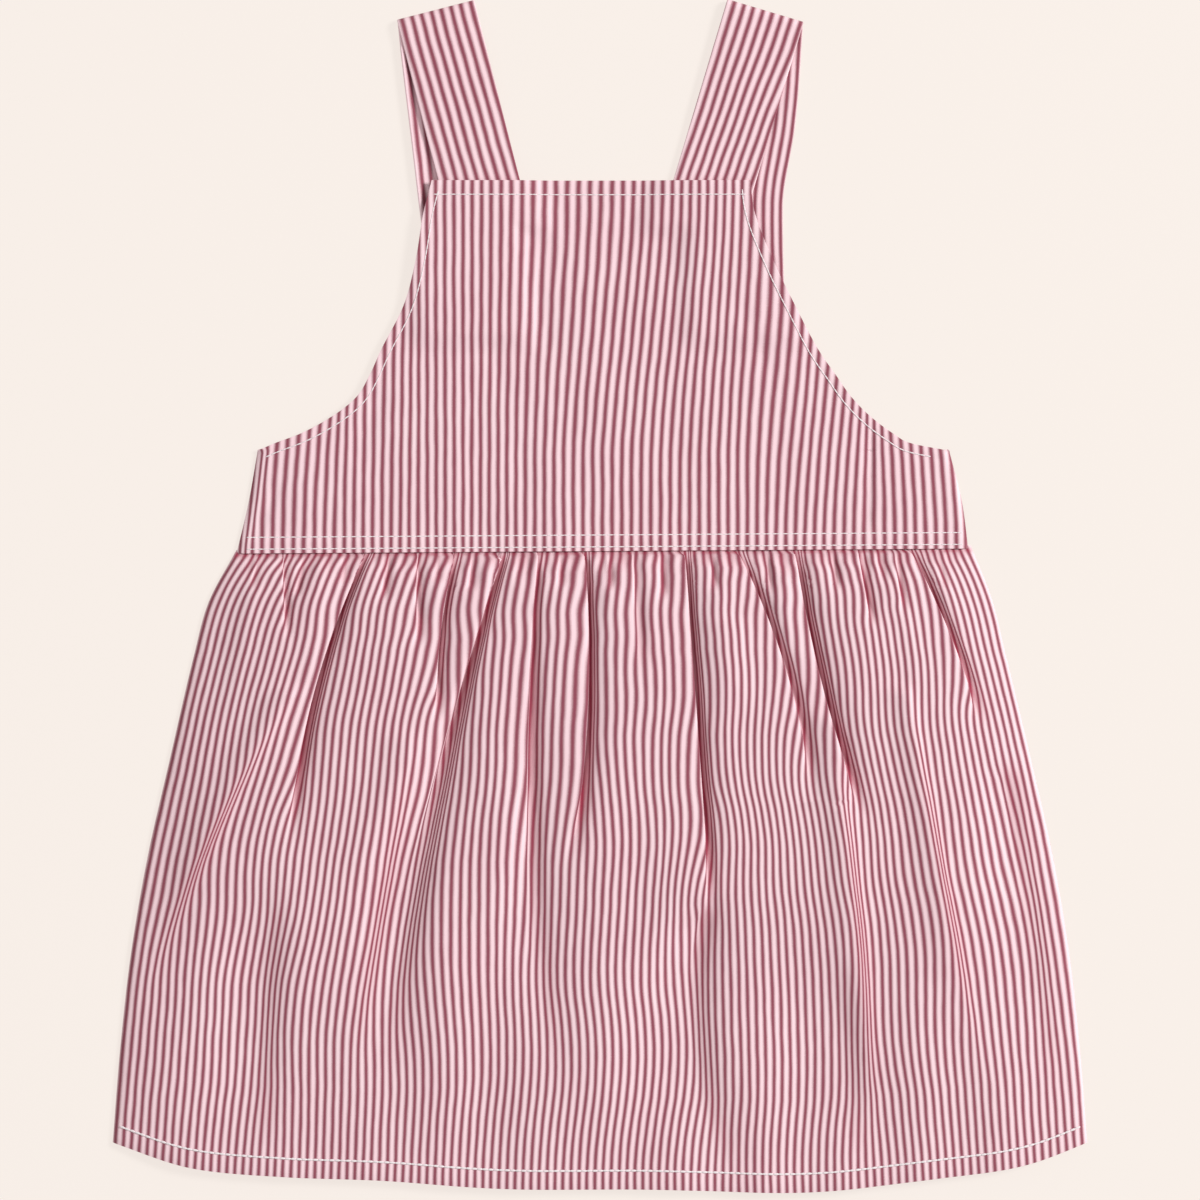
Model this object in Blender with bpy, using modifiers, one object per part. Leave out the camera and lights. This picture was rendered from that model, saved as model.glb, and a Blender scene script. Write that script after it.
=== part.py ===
"""Child's striped pinafore dress, laid flat with its front up.

Units are metres. +X runs to the right of the laid garment, +Y from the hem to
the shoulders and +Z up from the surface it lies on. The origin is the middle
of the underside. The pieces are the ones that are cut and sewn: a bodice front
and back, a gathered skirt front and back, and two shoulder straps. Every piece
is a wall of cloth, and pieces that meet at a seam stay a small gap apart.
"""

import math
from typing import NamedTuple

import bmesh
import bpy
import numpy as np
from mathutils import Vector

# Cloth ----------------------------------------------------------------------
WALL = 0.0012              # one layer of twill with its turnings
STRAP_WALL = 0.0014        # a strap is two layers, stitched flat
SEAM_GAP = 0.0003          # between pieces that meet or lie on each other
LAY_GAP = 0.0004           # between the front panels and the back panels

# Lengths along the garment ----------------------------------------------------
WAIST_Y = 0.0198           # seam between bodice and skirt, at the middle
WAIST_TILT = 0.0068        # the seam lies a little higher on the right
UNDERARM_Y = 0.0638        # top of the side seams, where the armholes start
BIB_TOP_Y = 0.1826         # top edge of the front bib
BACK_TOP_Y = 0.1280        # top edge of the lower back bib
SIDE_HEM_Y = -0.2402       # hem at the side seams

# Gathers --------------------------------------------------------------------
SIDE_ROUND = 0.016         # width over which a front panel comes down to its side
BACK_GATHERS = 13          # pressed gathers under the skirt back
BACK_GATHER_LIFT = 0.0008
BACK_GATHER_WIDTH = 0.0045

# Straps ---------------------------------------------------------------------
STRAP_WIDTH = 0.0350
STRAP_TUCK = 0.0150        # front end, sewn behind the bib
STRAP_BACK_END_Y = 0.1192  # back end, sewn inside the back bib
STRAP_FRONT_Z = 0.0026     # mid-wall height where it lies under the bib
SHOULDER_RADIUS = 0.0016   # mid-wall radius of the fold at the shoulder
BIB_LIFT = 0.0021          # how far the straps lift the bib above them
BIB_LIFT_FADE = 0.013      # and the width over which it comes down again
BIB_SAG = 0.0009           # bib between the straps, with no back cloth under it

# Grid counts ------------------------------------------------------------------
SKIRT_FRONT_GRID = (112, 18)
SKIRT_BACK_GRID = (54, 12)
BODICE_FRONT_COLUMNS = 34
BODICE_BACK_COLUMNS = 22
SIDE_ROWS = 4              # rows of a bodice panel below the underarm
FRONT_ARMHOLE_ROWS = 14    # and above it
BACK_ARMHOLE_ROWS = 8
ARMHOLE_CROWDING = 1.8     # these rows crowd towards the underarm
STRAP_COLUMNS = 4
ROW_CROWDING = 1.7         # rows of the skirt crowd towards the waist


class Edge(NamedTuple):
    """A height on the garment and where its left and right edges are."""

    y: float
    left: float
    right: float


class Hem(NamedTuple):
    """A place across the garment and the hem's height there."""

    x: float
    y: float


class Rise(NamedTuple):
    """How far the skirt front stands up, by distance below the waist seam."""

    drop: float
    height: float


class Fold(NamedTuple):
    """A trough or ridge down the skirt: its course, share of the rise, width."""

    top_x: float
    mid_x: float
    low_x: float
    top_y: float
    low_y: float
    share: float
    top_width: float
    low_width: float


class Pucker(NamedTuple):
    """A small gather at the waist seam."""

    x: float
    length: float
    share: float


class Run(NamedTuple):
    """A point on the middle line of a strap's hidden back run."""

    y: float
    x: float


class Strap(NamedTuple):
    """One strap: front run from bib to shoulder, then its back run."""

    name: str
    bib_x: float
    shoulder_x: float
    shoulder_y: float
    back: tuple


SKIRT_SIDES = (
    Edge(WAIST_Y, -0.1600, 0.1630),
    Edge(-0.002, -0.1722, 0.1722),
    Edge(-0.024, -0.1785, 0.1780),
    Edge(-0.068, -0.1890, 0.1890),
    Edge(-0.112, -0.1990, 0.1990),
    Edge(-0.156, -0.2064, 0.2064),
    Edge(-0.200, -0.2112, 0.2112),
    Edge(SIDE_HEM_Y, -0.2143, 0.2143),
)

HEM_LINE = (
    Hem(-0.2143, SIDE_HEM_Y),
    Hem(-0.1813, -0.2508),
    Hem(-0.1390, -0.2550),
    Hem(-0.0968, -0.2566),
    Hem(-0.0440, -0.2602),
    Hem(0.0250, -0.2606),
    Hem(0.0827, -0.2620),
    Hem(0.1461, -0.2560),
    Hem(0.1883, -0.2496),
    Hem(0.2143, SIDE_HEM_Y),
)

BODICE_SIDES = (
    Edge(WAIST_Y, -0.1598, 0.1620),
    Edge(0.0420, -0.1545, 0.1590),
    Edge(UNDERARM_Y, -0.1506, 0.1536),
)

FRONT_ARMHOLES = (
    Edge(UNDERARM_Y, -0.1506, 0.1536),
    Edge(0.0672, -0.1428, 0.1365),
    Edge(0.0710, -0.1325, 0.1295),
    Edge(0.0788, -0.1180, 0.1190),
    Edge(0.0871, -0.1074, 0.1108),
    Edge(0.0972, -0.1012, 0.1036),
    Edge(0.1074, -0.0966, 0.0965),
    Edge(0.1280, -0.0862, 0.0855),
    Edge(0.1474, -0.0810, 0.0761),
    Edge(0.1690, -0.0774, 0.0678),
    Edge(BIB_TOP_Y, -0.0739, 0.0660),
)

BACK_ARMHOLES = (
    Edge(UNDERARM_Y, -0.1506, 0.1536),
    Edge(0.0665, -0.1400, 0.1345),
    Edge(0.0750, -0.1200, 0.1180),
    Edge(0.0880, -0.1010, 0.1030),
    Edge(0.1060, -0.0850, 0.0860),
    Edge(BACK_TOP_Y, -0.0744, 0.0766),
)

SKIRT_RISE = (
    Rise(0.000, 0.0009),
    Rise(0.004, 0.0034),
    Rise(0.012, 0.0058),
    Rise(0.030, 0.0074),
    Rise(0.065, 0.0078),
    Rise(0.115, 0.0077),
    Rise(0.170, 0.0072),
    Rise(0.225, 0.0058),
    Rise(0.262, 0.0040),
    Rise(0.290, 0.0034),
)

# Troughs between the gathers, from the left side to the right. Columns:
# x at the top, half way and at the low end; y at the top and low end; share of
# the rise that is lost; half width at the top and at the low end.
TROUGHS = (
    Fold(-0.1390, -0.1384, -0.1370, 0.0185, -0.0190, 0.50, 0.0030, 0.0040),
    Fold(-0.1030, -0.1267, -0.1355, 0.0190, -0.1118, 0.92, 0.0042, 0.0060),
    Fold(-0.0801, -0.0803, -0.0800, 0.0190, -0.0240, 0.50, 0.0030, 0.0040),
    Fold(-0.0638, -0.0706, -0.0717, 0.0190, -0.0590, 0.78, 0.0036, 0.0040),
    Fold(-0.0431, -0.0772, -0.1020, 0.0180, -0.2220, 0.95, 0.0042, 0.0140),
    Fold(-0.0273, -0.0308, -0.0220, 0.0195, -0.2300, 0.66, 0.0034, 0.0120),
    Fold(-0.0075, -0.0056, -0.0132, 0.0195, -0.1206, 0.92, 0.0038, 0.0060),
    Fold(0.0150, 0.0165, 0.0176, 0.0195, -0.0350, 0.30, 0.0050, 0.0060),
    Fold(0.0365, 0.0431, 0.0493, 0.0195, -0.1500, 0.95, 0.0040, 0.0060),
    Fold(0.0600, 0.0825, 0.0933, 0.0200, -0.0900, 0.70, 0.0036, 0.0060),
    Fold(0.0850, 0.0979, 0.1179, 0.0200, -0.1030, 0.94, 0.0042, 0.0060),
    Fold(0.1135, 0.1165, 0.1200, 0.0205, -0.0150, 0.60, 0.0034, 0.0040),
    Fold(0.1290, 0.1312, 0.1335, 0.0205, -0.0080, 0.50, 0.0030, 0.0036),
    Fold(0.1355, 0.1511, 0.1637, 0.0205, -0.0460, 0.90, 0.0040, 0.0060),
    Fold(-0.1450, -0.1510, -0.1540, -0.1180, -0.2400, 0.60, 0.0120, 0.0150),
    Fold(0.0480, 0.0400, 0.0560, -0.1300, -0.2500, 0.72, 0.0080, 0.0130),
    Fold(0.1000, 0.1050, 0.1080, -0.1500, -0.2450, 0.45, 0.0120, 0.0140),
    Fold(0.1760, 0.1880, 0.1940, -0.0700, -0.2200, 0.50, 0.0080, 0.0110),
)

# Ridges that stand above the gathers beside them, in the same columns.
RIDGES = (
    Fold(-0.1300, -0.1520, -0.1740, -0.0200, -0.1080, 0.16, 0.0060, 0.0080),
    Fold(-0.0830, -0.0990, -0.1130, -0.0600, -0.1800, 0.20, 0.0060, 0.0090),
    Fold(-0.0440, -0.0440, -0.0480, -0.0450, -0.1600, 0.12, 0.0110, 0.0130),
    Fold(0.0200, 0.0220, 0.0240, -0.0500, -0.1500, 0.10, 0.0150, 0.0180),
    Fold(0.0600, 0.0605, 0.0620, -0.0100, -0.0560, 0.18, 0.0060, 0.0070),
    Fold(0.1000, 0.1105, 0.1260, -0.0520, -0.1860, 0.24, 0.0050, 0.0070),
    Fold(0.1220, 0.1290, 0.1410, 0.0080, -0.0900, 0.22, 0.0046, 0.0060),
    Fold(0.1600, 0.1670, 0.1730, -0.0880, -0.1560, 0.16, 0.0060, 0.0080),
)

# Small gathers caught in the waist seam between the long ones.
PUCKERS = (
    Pucker(-0.1496, 0.016, 0.45),
    Pucker(-0.1298, 0.020, 0.50),
    Pucker(-0.1122, 0.014, 0.45),
    Pucker(-0.0924, 0.022, 0.55),
    Pucker(-0.0717, 0.014, 0.40),
    Pucker(-0.0560, 0.018, 0.50),
    Pucker(-0.0176, 0.016, 0.45),
    Pucker(0.0044, 0.018, 0.50),
    Pucker(0.0264, 0.022, 0.50),
    Pucker(0.0490, 0.018, 0.50),
    Pucker(0.0726, 0.020, 0.45),
    Pucker(0.1012, 0.018, 0.50),
    Pucker(0.1212, 0.014, 0.40),
    Pucker(0.1474, 0.018, 0.45),
)
PUCKER_WIDTH = 0.0032

STRAPS = (
    Strap("strap_left", -0.0532, -0.0722, 0.2571,
          (Run(0.2000, -0.0652), Run(0.1659, -0.0612), Run(0.1400, -0.0580),
           Run(STRAP_BACK_END_Y, -0.0556))),
    Strap("strap_right", 0.0504, 0.0726, 0.2567,
          (Run(0.2086, 0.0684), Run(0.1720, 0.0630), Run(0.1470, 0.0632),
           Run(STRAP_BACK_END_Y, 0.0640))),
)

RED_AND_WHITE = (0.62, 0.35, 0.40, 1.0)    # red and white stripes, seen from afar
TWILL_ROUGHNESS = 0.88


def smooth(value):
    """A smooth step from 0 to 1."""
    t = np.clip(value, 0.0, 1.0)
    return t * t * (3.0 - 2.0 * t)


def read_curve(places, values, at):
    """A smooth curve through the given values, read at one place or more."""
    order = np.argsort(places)
    knots = np.asarray(places, dtype=float)[order]
    heights = np.asarray(values, dtype=float)[order]
    steps = np.diff(knots)
    slopes = np.diff(heights) / steps
    tangents = np.concatenate(([slopes[0]], (slopes[:-1] + slopes[1:]) / 2, [slopes[-1]]))
    tangents[1:-1][slopes[:-1] * slopes[1:] <= 0] = 0.0
    at = np.clip(np.asarray(at, dtype=float), knots[0], knots[-1])
    low = np.clip(np.searchsorted(knots, at, side="right") - 1, 0, len(steps) - 1)
    t = (at - knots[low]) / steps[low]
    return (heights[low] * (1 + 2 * t) * (1 - t) ** 2
            + tangents[low] * steps[low] * t * (1 - t) ** 2
            + heights[low + 1] * t * t * (3 - 2 * t)
            + tangents[low + 1] * steps[low] * t * t * (t - 1))


def read_sides(sides, y):
    """Left and right edge of a panel at a height."""
    heights = [row.y for row in sides]
    left = read_curve(heights, [row.left for row in sides], y)
    right = read_curve(heights, [row.right for row in sides], y)
    return left, right


def waist_line(x):
    """Height of the waist seam at a place across the garment."""
    return WAIST_Y + WAIST_TILT * x


def hem_line(x):
    """Height of the hem at a place across the garment."""
    return read_curve([row.x for row in HEM_LINE], [row.y for row in HEM_LINE], x)


def fold_profile(fold, x, y):
    """How strongly a fold is felt at a point, from 0 to 1."""
    t = np.clip((fold.top_y - y) / (fold.top_y - fold.low_y), 0.0, 1.0)
    centre = (fold.top_x * 2 * (t - 0.5) * (t - 1)
              + fold.mid_x * 4 * t * (1 - t)
              + fold.low_x * 2 * t * (t - 0.5))
    width = fold.top_width + (fold.low_width - fold.top_width) * t
    across = ((x - centre) / width) ** 2
    core = 0.75 * np.exp(-across) + 0.25 * np.exp(-across / 8.0)
    past_top = smooth((fold.top_y + 0.002 - y) / 0.008)
    past_low = smooth((y - fold.low_y) / (0.35 * (fold.top_y - fold.low_y)) + 0.15)
    return core * past_top * past_low


def pucker_profile(pucker, x, y):
    """How strongly a small seam gather is felt at a point, from 0 to 1."""
    drop = waist_line(x) - y
    across = ((x - pucker.x) / (PUCKER_WIDTH * (1.0 + drop / pucker.length * 0.5))) ** 2
    return np.exp(-across) * smooth(1.0 - drop / pucker.length)


def skirt_rise(x, y, from_side):
    """Height of the skirt front above the lie of the back panel."""
    rise = read_curve([row.drop for row in SKIRT_RISE],
                      [row.height for row in SKIRT_RISE], waist_line(x) - y)
    rise = rise * smooth(from_side / SIDE_ROUND)
    for ridge in RIDGES:
        rise = rise * (1.0 + ridge.share * fold_profile(ridge, x, y))
    for trough in TROUGHS:
        rise = rise * (1.0 - trough.share * fold_profile(trough, x, y))
    for pucker in PUCKERS:
        rise = rise * (1.0 - pucker.share * pucker_profile(pucker, x, y))
    return rise


def back_lift(x, y):
    """Height of the skirt back's pressed gathers above the surface."""
    lift = np.zeros_like(x)
    drop = waist_line(x) - y
    pitch = 2 * 0.150 / (BACK_GATHERS - 1)
    for index in range(BACK_GATHERS):
        seam_x = -0.150 + pitch * index + 0.005 * math.sin(2.4 * index)
        length = 0.070 + 0.028 * math.sin(1.7 * index + 0.6)
        centre = seam_x * (1.0 + 1.1 * drop)
        strength = smooth(drop / 0.006) * smooth((length - drop) / (0.6 * length))
        lift += strength * np.exp(-((x - centre) / BACK_GATHER_WIDTH) ** 2)
    return BACK_GATHER_LIFT * np.clip(lift, 0.0, 1.0)


def strap_middle(strap, y):
    """Middle line of a strap's back run, by height."""
    rows = (Run(strap.shoulder_y, strap.shoulder_x),) + strap.back
    return read_curve([row.y for row in rows], [row.x for row in rows], y)


def bib_lift(x, y):
    """How far the straps behind the bib lift it."""
    lift = np.zeros_like(x)
    for strap in STRAPS:
        slope = (strap.shoulder_x - strap.bib_x) / (strap.shoulder_y - BIB_TOP_Y)
        front_x = strap.bib_x + slope * (y - BIB_TOP_Y)
        tucked = smooth((y - (BIB_TOP_Y - STRAP_TUCK - 0.012)) / 0.010)
        behind = smooth((y - (STRAP_BACK_END_Y - 0.014)) / 0.012)
        for centre, strength in ((front_x, tucked), (strap_middle(strap, y), behind)):
            beyond = np.abs(x - centre) - STRAP_WIDTH / 2 - 0.002
            lift = np.maximum(lift, strength * smooth(1.0 - beyond / BIB_LIFT_FADE))
    return BIB_LIFT * lift


def bib_sag(x, y):
    """How far the bib sags between the straps, above the back bib."""
    above = smooth((y - BACK_TOP_Y - 0.004) / 0.018)
    between = smooth((0.046 - np.abs(x)) / 0.022)
    return BIB_SAG * above * between


def grid_sheet(name, columns, rows, place):
    """A flat grid whose points are moved onto the cloth by a function."""
    mesh = bpy.data.meshes.new(name)
    sheet = bmesh.new()
    bmesh.ops.create_grid(sheet, x_segments=columns, y_segments=rows, size=1.0)
    across = np.array([vert.co.x for vert in sheet.verts]) * 0.5 + 0.5
    along = np.array([vert.co.y for vert in sheet.verts]) * 0.5 + 0.5
    for vert, point in zip(sheet.verts, place(across, along)):
        vert.co = point
    sheet.to_mesh(mesh)
    sheet.free()
    return mesh


def twill(name):
    """Striped cotton twill, matt and undyed between its red stripes."""
    material = bpy.data.materials.new(name + "_twill")
    material.use_nodes = True
    shader = material.node_tree.nodes["Principled BSDF"]
    shader.inputs["Base Color"].default_value = RED_AND_WHITE
    shader.inputs["Roughness"].default_value = TWILL_ROUGHNESS
    shader.inputs["Metallic"].default_value = 0.0
    material.diffuse_color = RED_AND_WHITE
    return material


def cloth_piece(name, mesh, thickness, offset, collection):
    """A named piece of cloth: a sheet given its wall."""
    piece = bpy.data.objects.new(name, mesh)
    collection.objects.link(piece)
    mesh.shade_smooth()
    mesh.materials.append(twill(name))
    wall = piece.modifiers.new("wall", "SOLIDIFY")
    wall.thickness = thickness
    wall.offset = offset
    wall.use_even_offset = True
    wall.use_quality_normals = True
    return piece


def panel_points(sides, across, height):
    """Places across a panel, at nominal heights, and their distance from its side."""
    left, right = read_sides(sides, height)
    x = left + (right - left) * across
    from_side = np.minimum(x - left, right - x)
    return x, from_side


def skirt_points(across, down):
    """Plan of a skirt panel: down runs from 0 at the waist to 1 at the hem."""
    nominal = WAIST_Y + (SIDE_HEM_Y - WAIST_Y) * down
    x, from_side = panel_points(SKIRT_SIDES, across, nominal)
    top = waist_line(x) - SEAM_GAP
    y = top + (hem_line(x) - top) * down
    return x, y, from_side


def place_skirt_front(across, along):
    """Outer face of the gathered skirt front."""
    down = (1.0 - along) ** ROW_CROWDING
    x, y, from_side = skirt_points(across, down)
    lie = back_lift(x, y) + WALL + LAY_GAP + WALL
    return np.column_stack((x, y, lie + skirt_rise(x, y, from_side)))


def place_skirt_back(across, along):
    """Underside of the skirt back, flat but for its pressed gathers."""
    down = (1.0 - along) ** ROW_CROWDING
    x, y, _ = skirt_points(across, down)
    return np.column_stack((x, y, back_lift(x, y)))


def bodice_points(armholes, armhole_rows, top_y, across, along):
    """Plan of a bodice panel: its sides to the underarm, then its armholes."""
    side_share = SIDE_ROWS / (SIDE_ROWS + armhole_rows)
    up_side = np.clip(along / side_share, 0.0, 1.0)
    up_armhole = np.clip((along - side_share) / (1.0 - side_share), 0.0, 1.0)
    side_y = WAIST_Y + (UNDERARM_Y - WAIST_Y) * up_side
    armhole_y = UNDERARM_Y + (top_y - UNDERARM_Y) * up_armhole ** ARMHOLE_CROWDING
    side_x, from_side = panel_points(BODICE_SIDES, across, side_y)
    armhole_x, from_armhole = panel_points(armholes, across, armhole_y)
    in_armhole = up_armhole > 0.0
    x = np.where(in_armhole, armhole_x, side_x)
    y = np.where(in_armhole, armhole_y, side_y + WAIST_TILT * side_x * (1.0 - up_side))
    return x, y, np.where(in_armhole, from_armhole, from_side)


def place_bodice_front(across, along):
    """Outer face of the bodice front with its bib."""
    x, y, from_side = bodice_points(
        FRONT_ARMHOLES, FRONT_ARMHOLE_ROWS, BIB_TOP_Y, across, along)
    lift = bib_lift(x, y) - bib_sag(x, y)
    ease = 0.0005 * smooth(from_side / 0.030) * smooth((y - WAIST_Y) / 0.020)
    return np.column_stack((x, y, WALL + LAY_GAP + WALL + lift + ease))


def place_bodice_back(across, along):
    """Underside of the bodice back, flat on the surface."""
    x, y, _ = bodice_points(
        BACK_ARMHOLES, BACK_ARMHOLE_ROWS, BACK_TOP_Y, across, along)
    return np.column_stack((x, y, np.zeros_like(x)))


def strap_stations(strap):
    """Middle points and widthwise directions along a strap, bib to back."""
    bib = Vector((strap.bib_x, BIB_TOP_Y, 0.0))
    shoulder = Vector((strap.shoulder_x, strap.shoulder_y, 0.0))
    up = (shoulder - bib).normalized()
    across = Vector((up.y, -up.x, 0.0))
    crown_z = STRAP_WALL / 2 + 2 * SHOULDER_RADIUS
    stations = []
    tuck_end = bib - up * STRAP_TUCK
    fold_start = shoulder - up * SHOULDER_RADIUS
    run = (fold_start - tuck_end).length
    clear_of_bib = (STRAP_TUCK + 0.004) / run
    front_steps = 12
    for step in range(front_steps + 1):
        t = step / front_steps
        climb = float(smooth((t - clear_of_bib) / (1.0 - clear_of_bib)))
        z = STRAP_FRONT_Z + (crown_z - STRAP_FRONT_Z) * climb
        stations.append((tuck_end + up * (run * t) + Vector((0, 0, z)), across))
    fold_steps = 6
    for step in range(1, fold_steps + 1):
        turn = math.pi * step / fold_steps
        z = STRAP_WALL / 2 + SHOULDER_RADIUS * (1.0 + math.cos(turn))
        reach = up * (SHOULDER_RADIUS * math.sin(turn))
        stations.append((fold_start + reach + Vector((0, 0, z)), across))
    back_steps = 20
    for step in range(1, back_steps + 1):
        y = fold_start.y + (STRAP_BACK_END_Y - fold_start.y) * step / back_steps
        slope = float(strap_middle(strap, y + 0.004) - strap_middle(strap, y - 0.004)) / 0.008
        settle = float(smooth((fold_start.y - y) / 0.040))
        x = float(strap_middle(strap, y))
        on_back = float(smooth((BACK_TOP_Y + 0.016 - y) / 0.013))
        z = STRAP_WALL / 2 + (WALL + SEAM_GAP) * on_back
        run_across = Vector((1.0, -slope, 0.0)).normalized()
        stations.append((Vector((x, y, z)), across.lerp(run_across, settle).normalized()))
    return stations


def strap_mesh(strap):
    """Middle sheet of a strap, from its tuck behind the bib to the back bib."""
    stations = strap_stations(strap)
    last = len(stations) - 1

    def place(across, along):
        """Points of the strap's middle sheet."""
        points = []
        for side, share in zip(across, along):
            middle, direction = stations[int(round(share * last))]
            points.append(middle + direction * ((side - 0.5) * STRAP_WIDTH))
        return points

    return grid_sheet(strap.name, STRAP_COLUMNS, last, place)


def centre_pieces(pieces):
    """Move the pieces so that the origin is the middle of their underside."""
    graph = bpy.context.evaluated_depsgraph_get()
    corners = []
    for piece in pieces:
        shape = piece.evaluated_get(graph).to_mesh()
        points = np.array([vert.co[:] for vert in shape.vertices])
        corners += [points.min(axis=0), points.max(axis=0)]
    low = np.min(corners, axis=0)
    high = np.max(corners, axis=0)
    shift = Vector((-(low[0] + high[0]) / 2, -(low[1] + high[1]) / 2, -low[2]))
    for piece in pieces:
        for vert in piece.data.vertices:
            vert.co = vert.co + shift


def build():
    """Build the whole pinafore."""
    for old in list(bpy.data.objects):
        bpy.data.objects.remove(old, do_unlink=True)
    dress = bpy.data.collections.new("pinafore_dress")
    bpy.context.scene.collection.children.link(dress)
    panels = (
        ("skirt_back", SKIRT_BACK_GRID, place_skirt_back, 1.0),
        ("bodice_back", (BODICE_BACK_COLUMNS, SIDE_ROWS + BACK_ARMHOLE_ROWS),
         place_bodice_back, 1.0),
        ("skirt_front", SKIRT_FRONT_GRID, place_skirt_front, -1.0),
        ("bodice_front", (BODICE_FRONT_COLUMNS, SIDE_ROWS + FRONT_ARMHOLE_ROWS),
         place_bodice_front, -1.0),
    )
    pieces = []
    for name, (columns, rows), place, offset in panels:
        mesh = grid_sheet(name, columns, rows, place)
        pieces.append(cloth_piece(name, mesh, WALL, offset, dress))
    for strap in STRAPS:
        pieces.append(cloth_piece(strap.name, strap_mesh(strap), STRAP_WALL, 0.0, dress))
    centre_pieces(pieces)


build()
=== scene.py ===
"""Looks of a child's striped pinafore dress, laid flat with its front up.

The frame holds plain solids. Here each of them is replaced by a thin shell of
striped twill that lies as the cloth does: gathers drawn into deep and uneven
troughs below the waist seam, a bib lifted by its straps, side edges rolled down
to the back, turned hems and rows of white topstitch. Units are metres: +X runs
to the right of the laid garment, +Y from the hem to the shoulders and +Z up.
"""

import logging
import math
from abc import ABC, abstractmethod
from collections.abc import Callable, Sequence
from dataclasses import dataclass
from enum import Enum
from typing import NamedTuple

import bmesh
import bpy
import numpy as np
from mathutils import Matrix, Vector


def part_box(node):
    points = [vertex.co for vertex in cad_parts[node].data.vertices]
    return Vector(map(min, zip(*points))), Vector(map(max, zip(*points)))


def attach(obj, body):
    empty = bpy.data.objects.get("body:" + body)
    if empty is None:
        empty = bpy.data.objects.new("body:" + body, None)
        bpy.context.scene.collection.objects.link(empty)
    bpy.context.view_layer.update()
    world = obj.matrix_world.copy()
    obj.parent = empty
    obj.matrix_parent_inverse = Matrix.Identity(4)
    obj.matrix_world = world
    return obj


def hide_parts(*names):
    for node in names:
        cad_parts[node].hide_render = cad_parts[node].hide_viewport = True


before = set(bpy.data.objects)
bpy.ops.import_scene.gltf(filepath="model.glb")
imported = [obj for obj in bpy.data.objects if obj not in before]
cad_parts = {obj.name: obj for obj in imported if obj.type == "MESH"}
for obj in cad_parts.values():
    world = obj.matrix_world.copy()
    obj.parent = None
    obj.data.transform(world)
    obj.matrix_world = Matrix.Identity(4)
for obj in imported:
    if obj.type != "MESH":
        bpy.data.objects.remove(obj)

LOG = logging.getLogger("pinafore")
BODY = "root"
UV_NAME = "cloth"
FOLD_SHADE_ATTRIBUTE = "deep"          # painted shade for each point: how deep in a fold the cloth lies, from 0 to 1
STRIPE_PITCH = 0.00421      # one red and one white stripe of the twill
NARROW = 0.0062             # half width above which a fold is a valley and not a slit

Array = np.ndarray
Reals = np.ndarray | float
Surface = Callable[[np.ndarray, np.ndarray], np.ndarray]
Colour = tuple[float, float, float, float]


# Numbers along and across the cloth -------------------------------------------

def smooth(value: Reals) -> Array:
    """A smooth step from 0 to 1."""
    t = np.clip(value, 0.0, 1.0)
    return t * t * (3.0 - 2.0 * t)


def bell(distance: Array, width: Reals) -> Array:
    """A soft hump that is 1 in its middle and fades over its width."""
    return np.exp(-(distance / width) ** 2)


def hump(distance: Array, width: Reals) -> Array:
    """A bell with an area of 1."""
    return bell(distance, width) / (width * math.sqrt(math.pi))


def rolled(z: Array, roll: Array, edge_z: float) -> Array:
    """Heights as the cloth rolls down to its edge, where the roll is 1."""
    return edge_z + (z - edge_z) * np.sqrt(1.0 - roll * roll)


def running(steps: Array) -> Array:
    """The sums so far of some steps, from 0."""
    return np.concatenate(([0.0], np.cumsum(steps)))


def lengths_along(points: Array) -> Array:
    """How far each point is along the line that they make."""
    return running(np.linalg.norm(np.diff(points, axis=0), axis=1))


def table(kind: type, *rows: tuple[float, ...]) -> tuple:
    """Rows of numbers as records of one kind."""
    return tuple(kind(*row) for row in rows)


def read_curve(places: Sequence[float], values: Sequence[float],
               at: Reals) -> Array:
    """A smooth curve through a short table.

    Args:
        places: where the table's rows are, in any order.
        values: the value in each row.
        at: the place or places that are read.

    Returns:
        The curve's value at each place, held level past the table's ends.
    """
    order = np.argsort(places)
    knots = np.asarray(places, dtype=float)[order]
    heights = np.asarray(values, dtype=float)[order]
    steps = np.diff(knots)
    slopes = np.diff(heights) / steps
    tangents = np.concatenate(([slopes[0]], (slopes[:-1] + slopes[1:]) / 2, [slopes[-1]]))
    tangents[1:-1][slopes[:-1] * slopes[1:] <= 0] = 0.0
    at = np.clip(np.asarray(at, dtype=float), knots[0], knots[-1])
    low = np.clip(np.searchsorted(knots, at, side="right") - 1, 0, len(steps) - 1)
    t = (at - knots[low]) / steps[low]
    return (heights[low] * (1 + 2 * t) * (1 - t) ** 2
            + tangents[low] * steps[low] * t * (1 - t) ** 2
            + heights[low + 1] * t * t * (3 - 2 * t)
            + tangents[low + 1] * steps[low] * t * t * (t - 1))


def crumple(x: Array, y: Array, seed: int, wave: float,
            stretch: float = 1.0) -> Array:
    """Faint uneven waves, as in cloth that was folded and smoothed by hand.

    Args:
        x: places across the cloth.
        y: places along the cloth.
        seed: which set of waves.
        wave: the length of a usual wave.
        stretch: how much longer the waves are along the cloth than across.

    Returns:
        The height of the waves, mostly between -1 and 1.
    """
    random = np.random.default_rng(seed)
    height = np.zeros(np.broadcast(x, y).shape)
    count = 9
    for _ in range(count):
        angle = random.uniform(0.0, math.pi)
        turns = 2 * math.pi / (wave * random.uniform(0.6, 1.9))
        phase = random.uniform(0.0, 2 * math.pi)
        height += np.sin(turns * (x * math.cos(angle) + y * math.sin(angle) / stretch) + phase)
    return height / math.sqrt(count)


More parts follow.
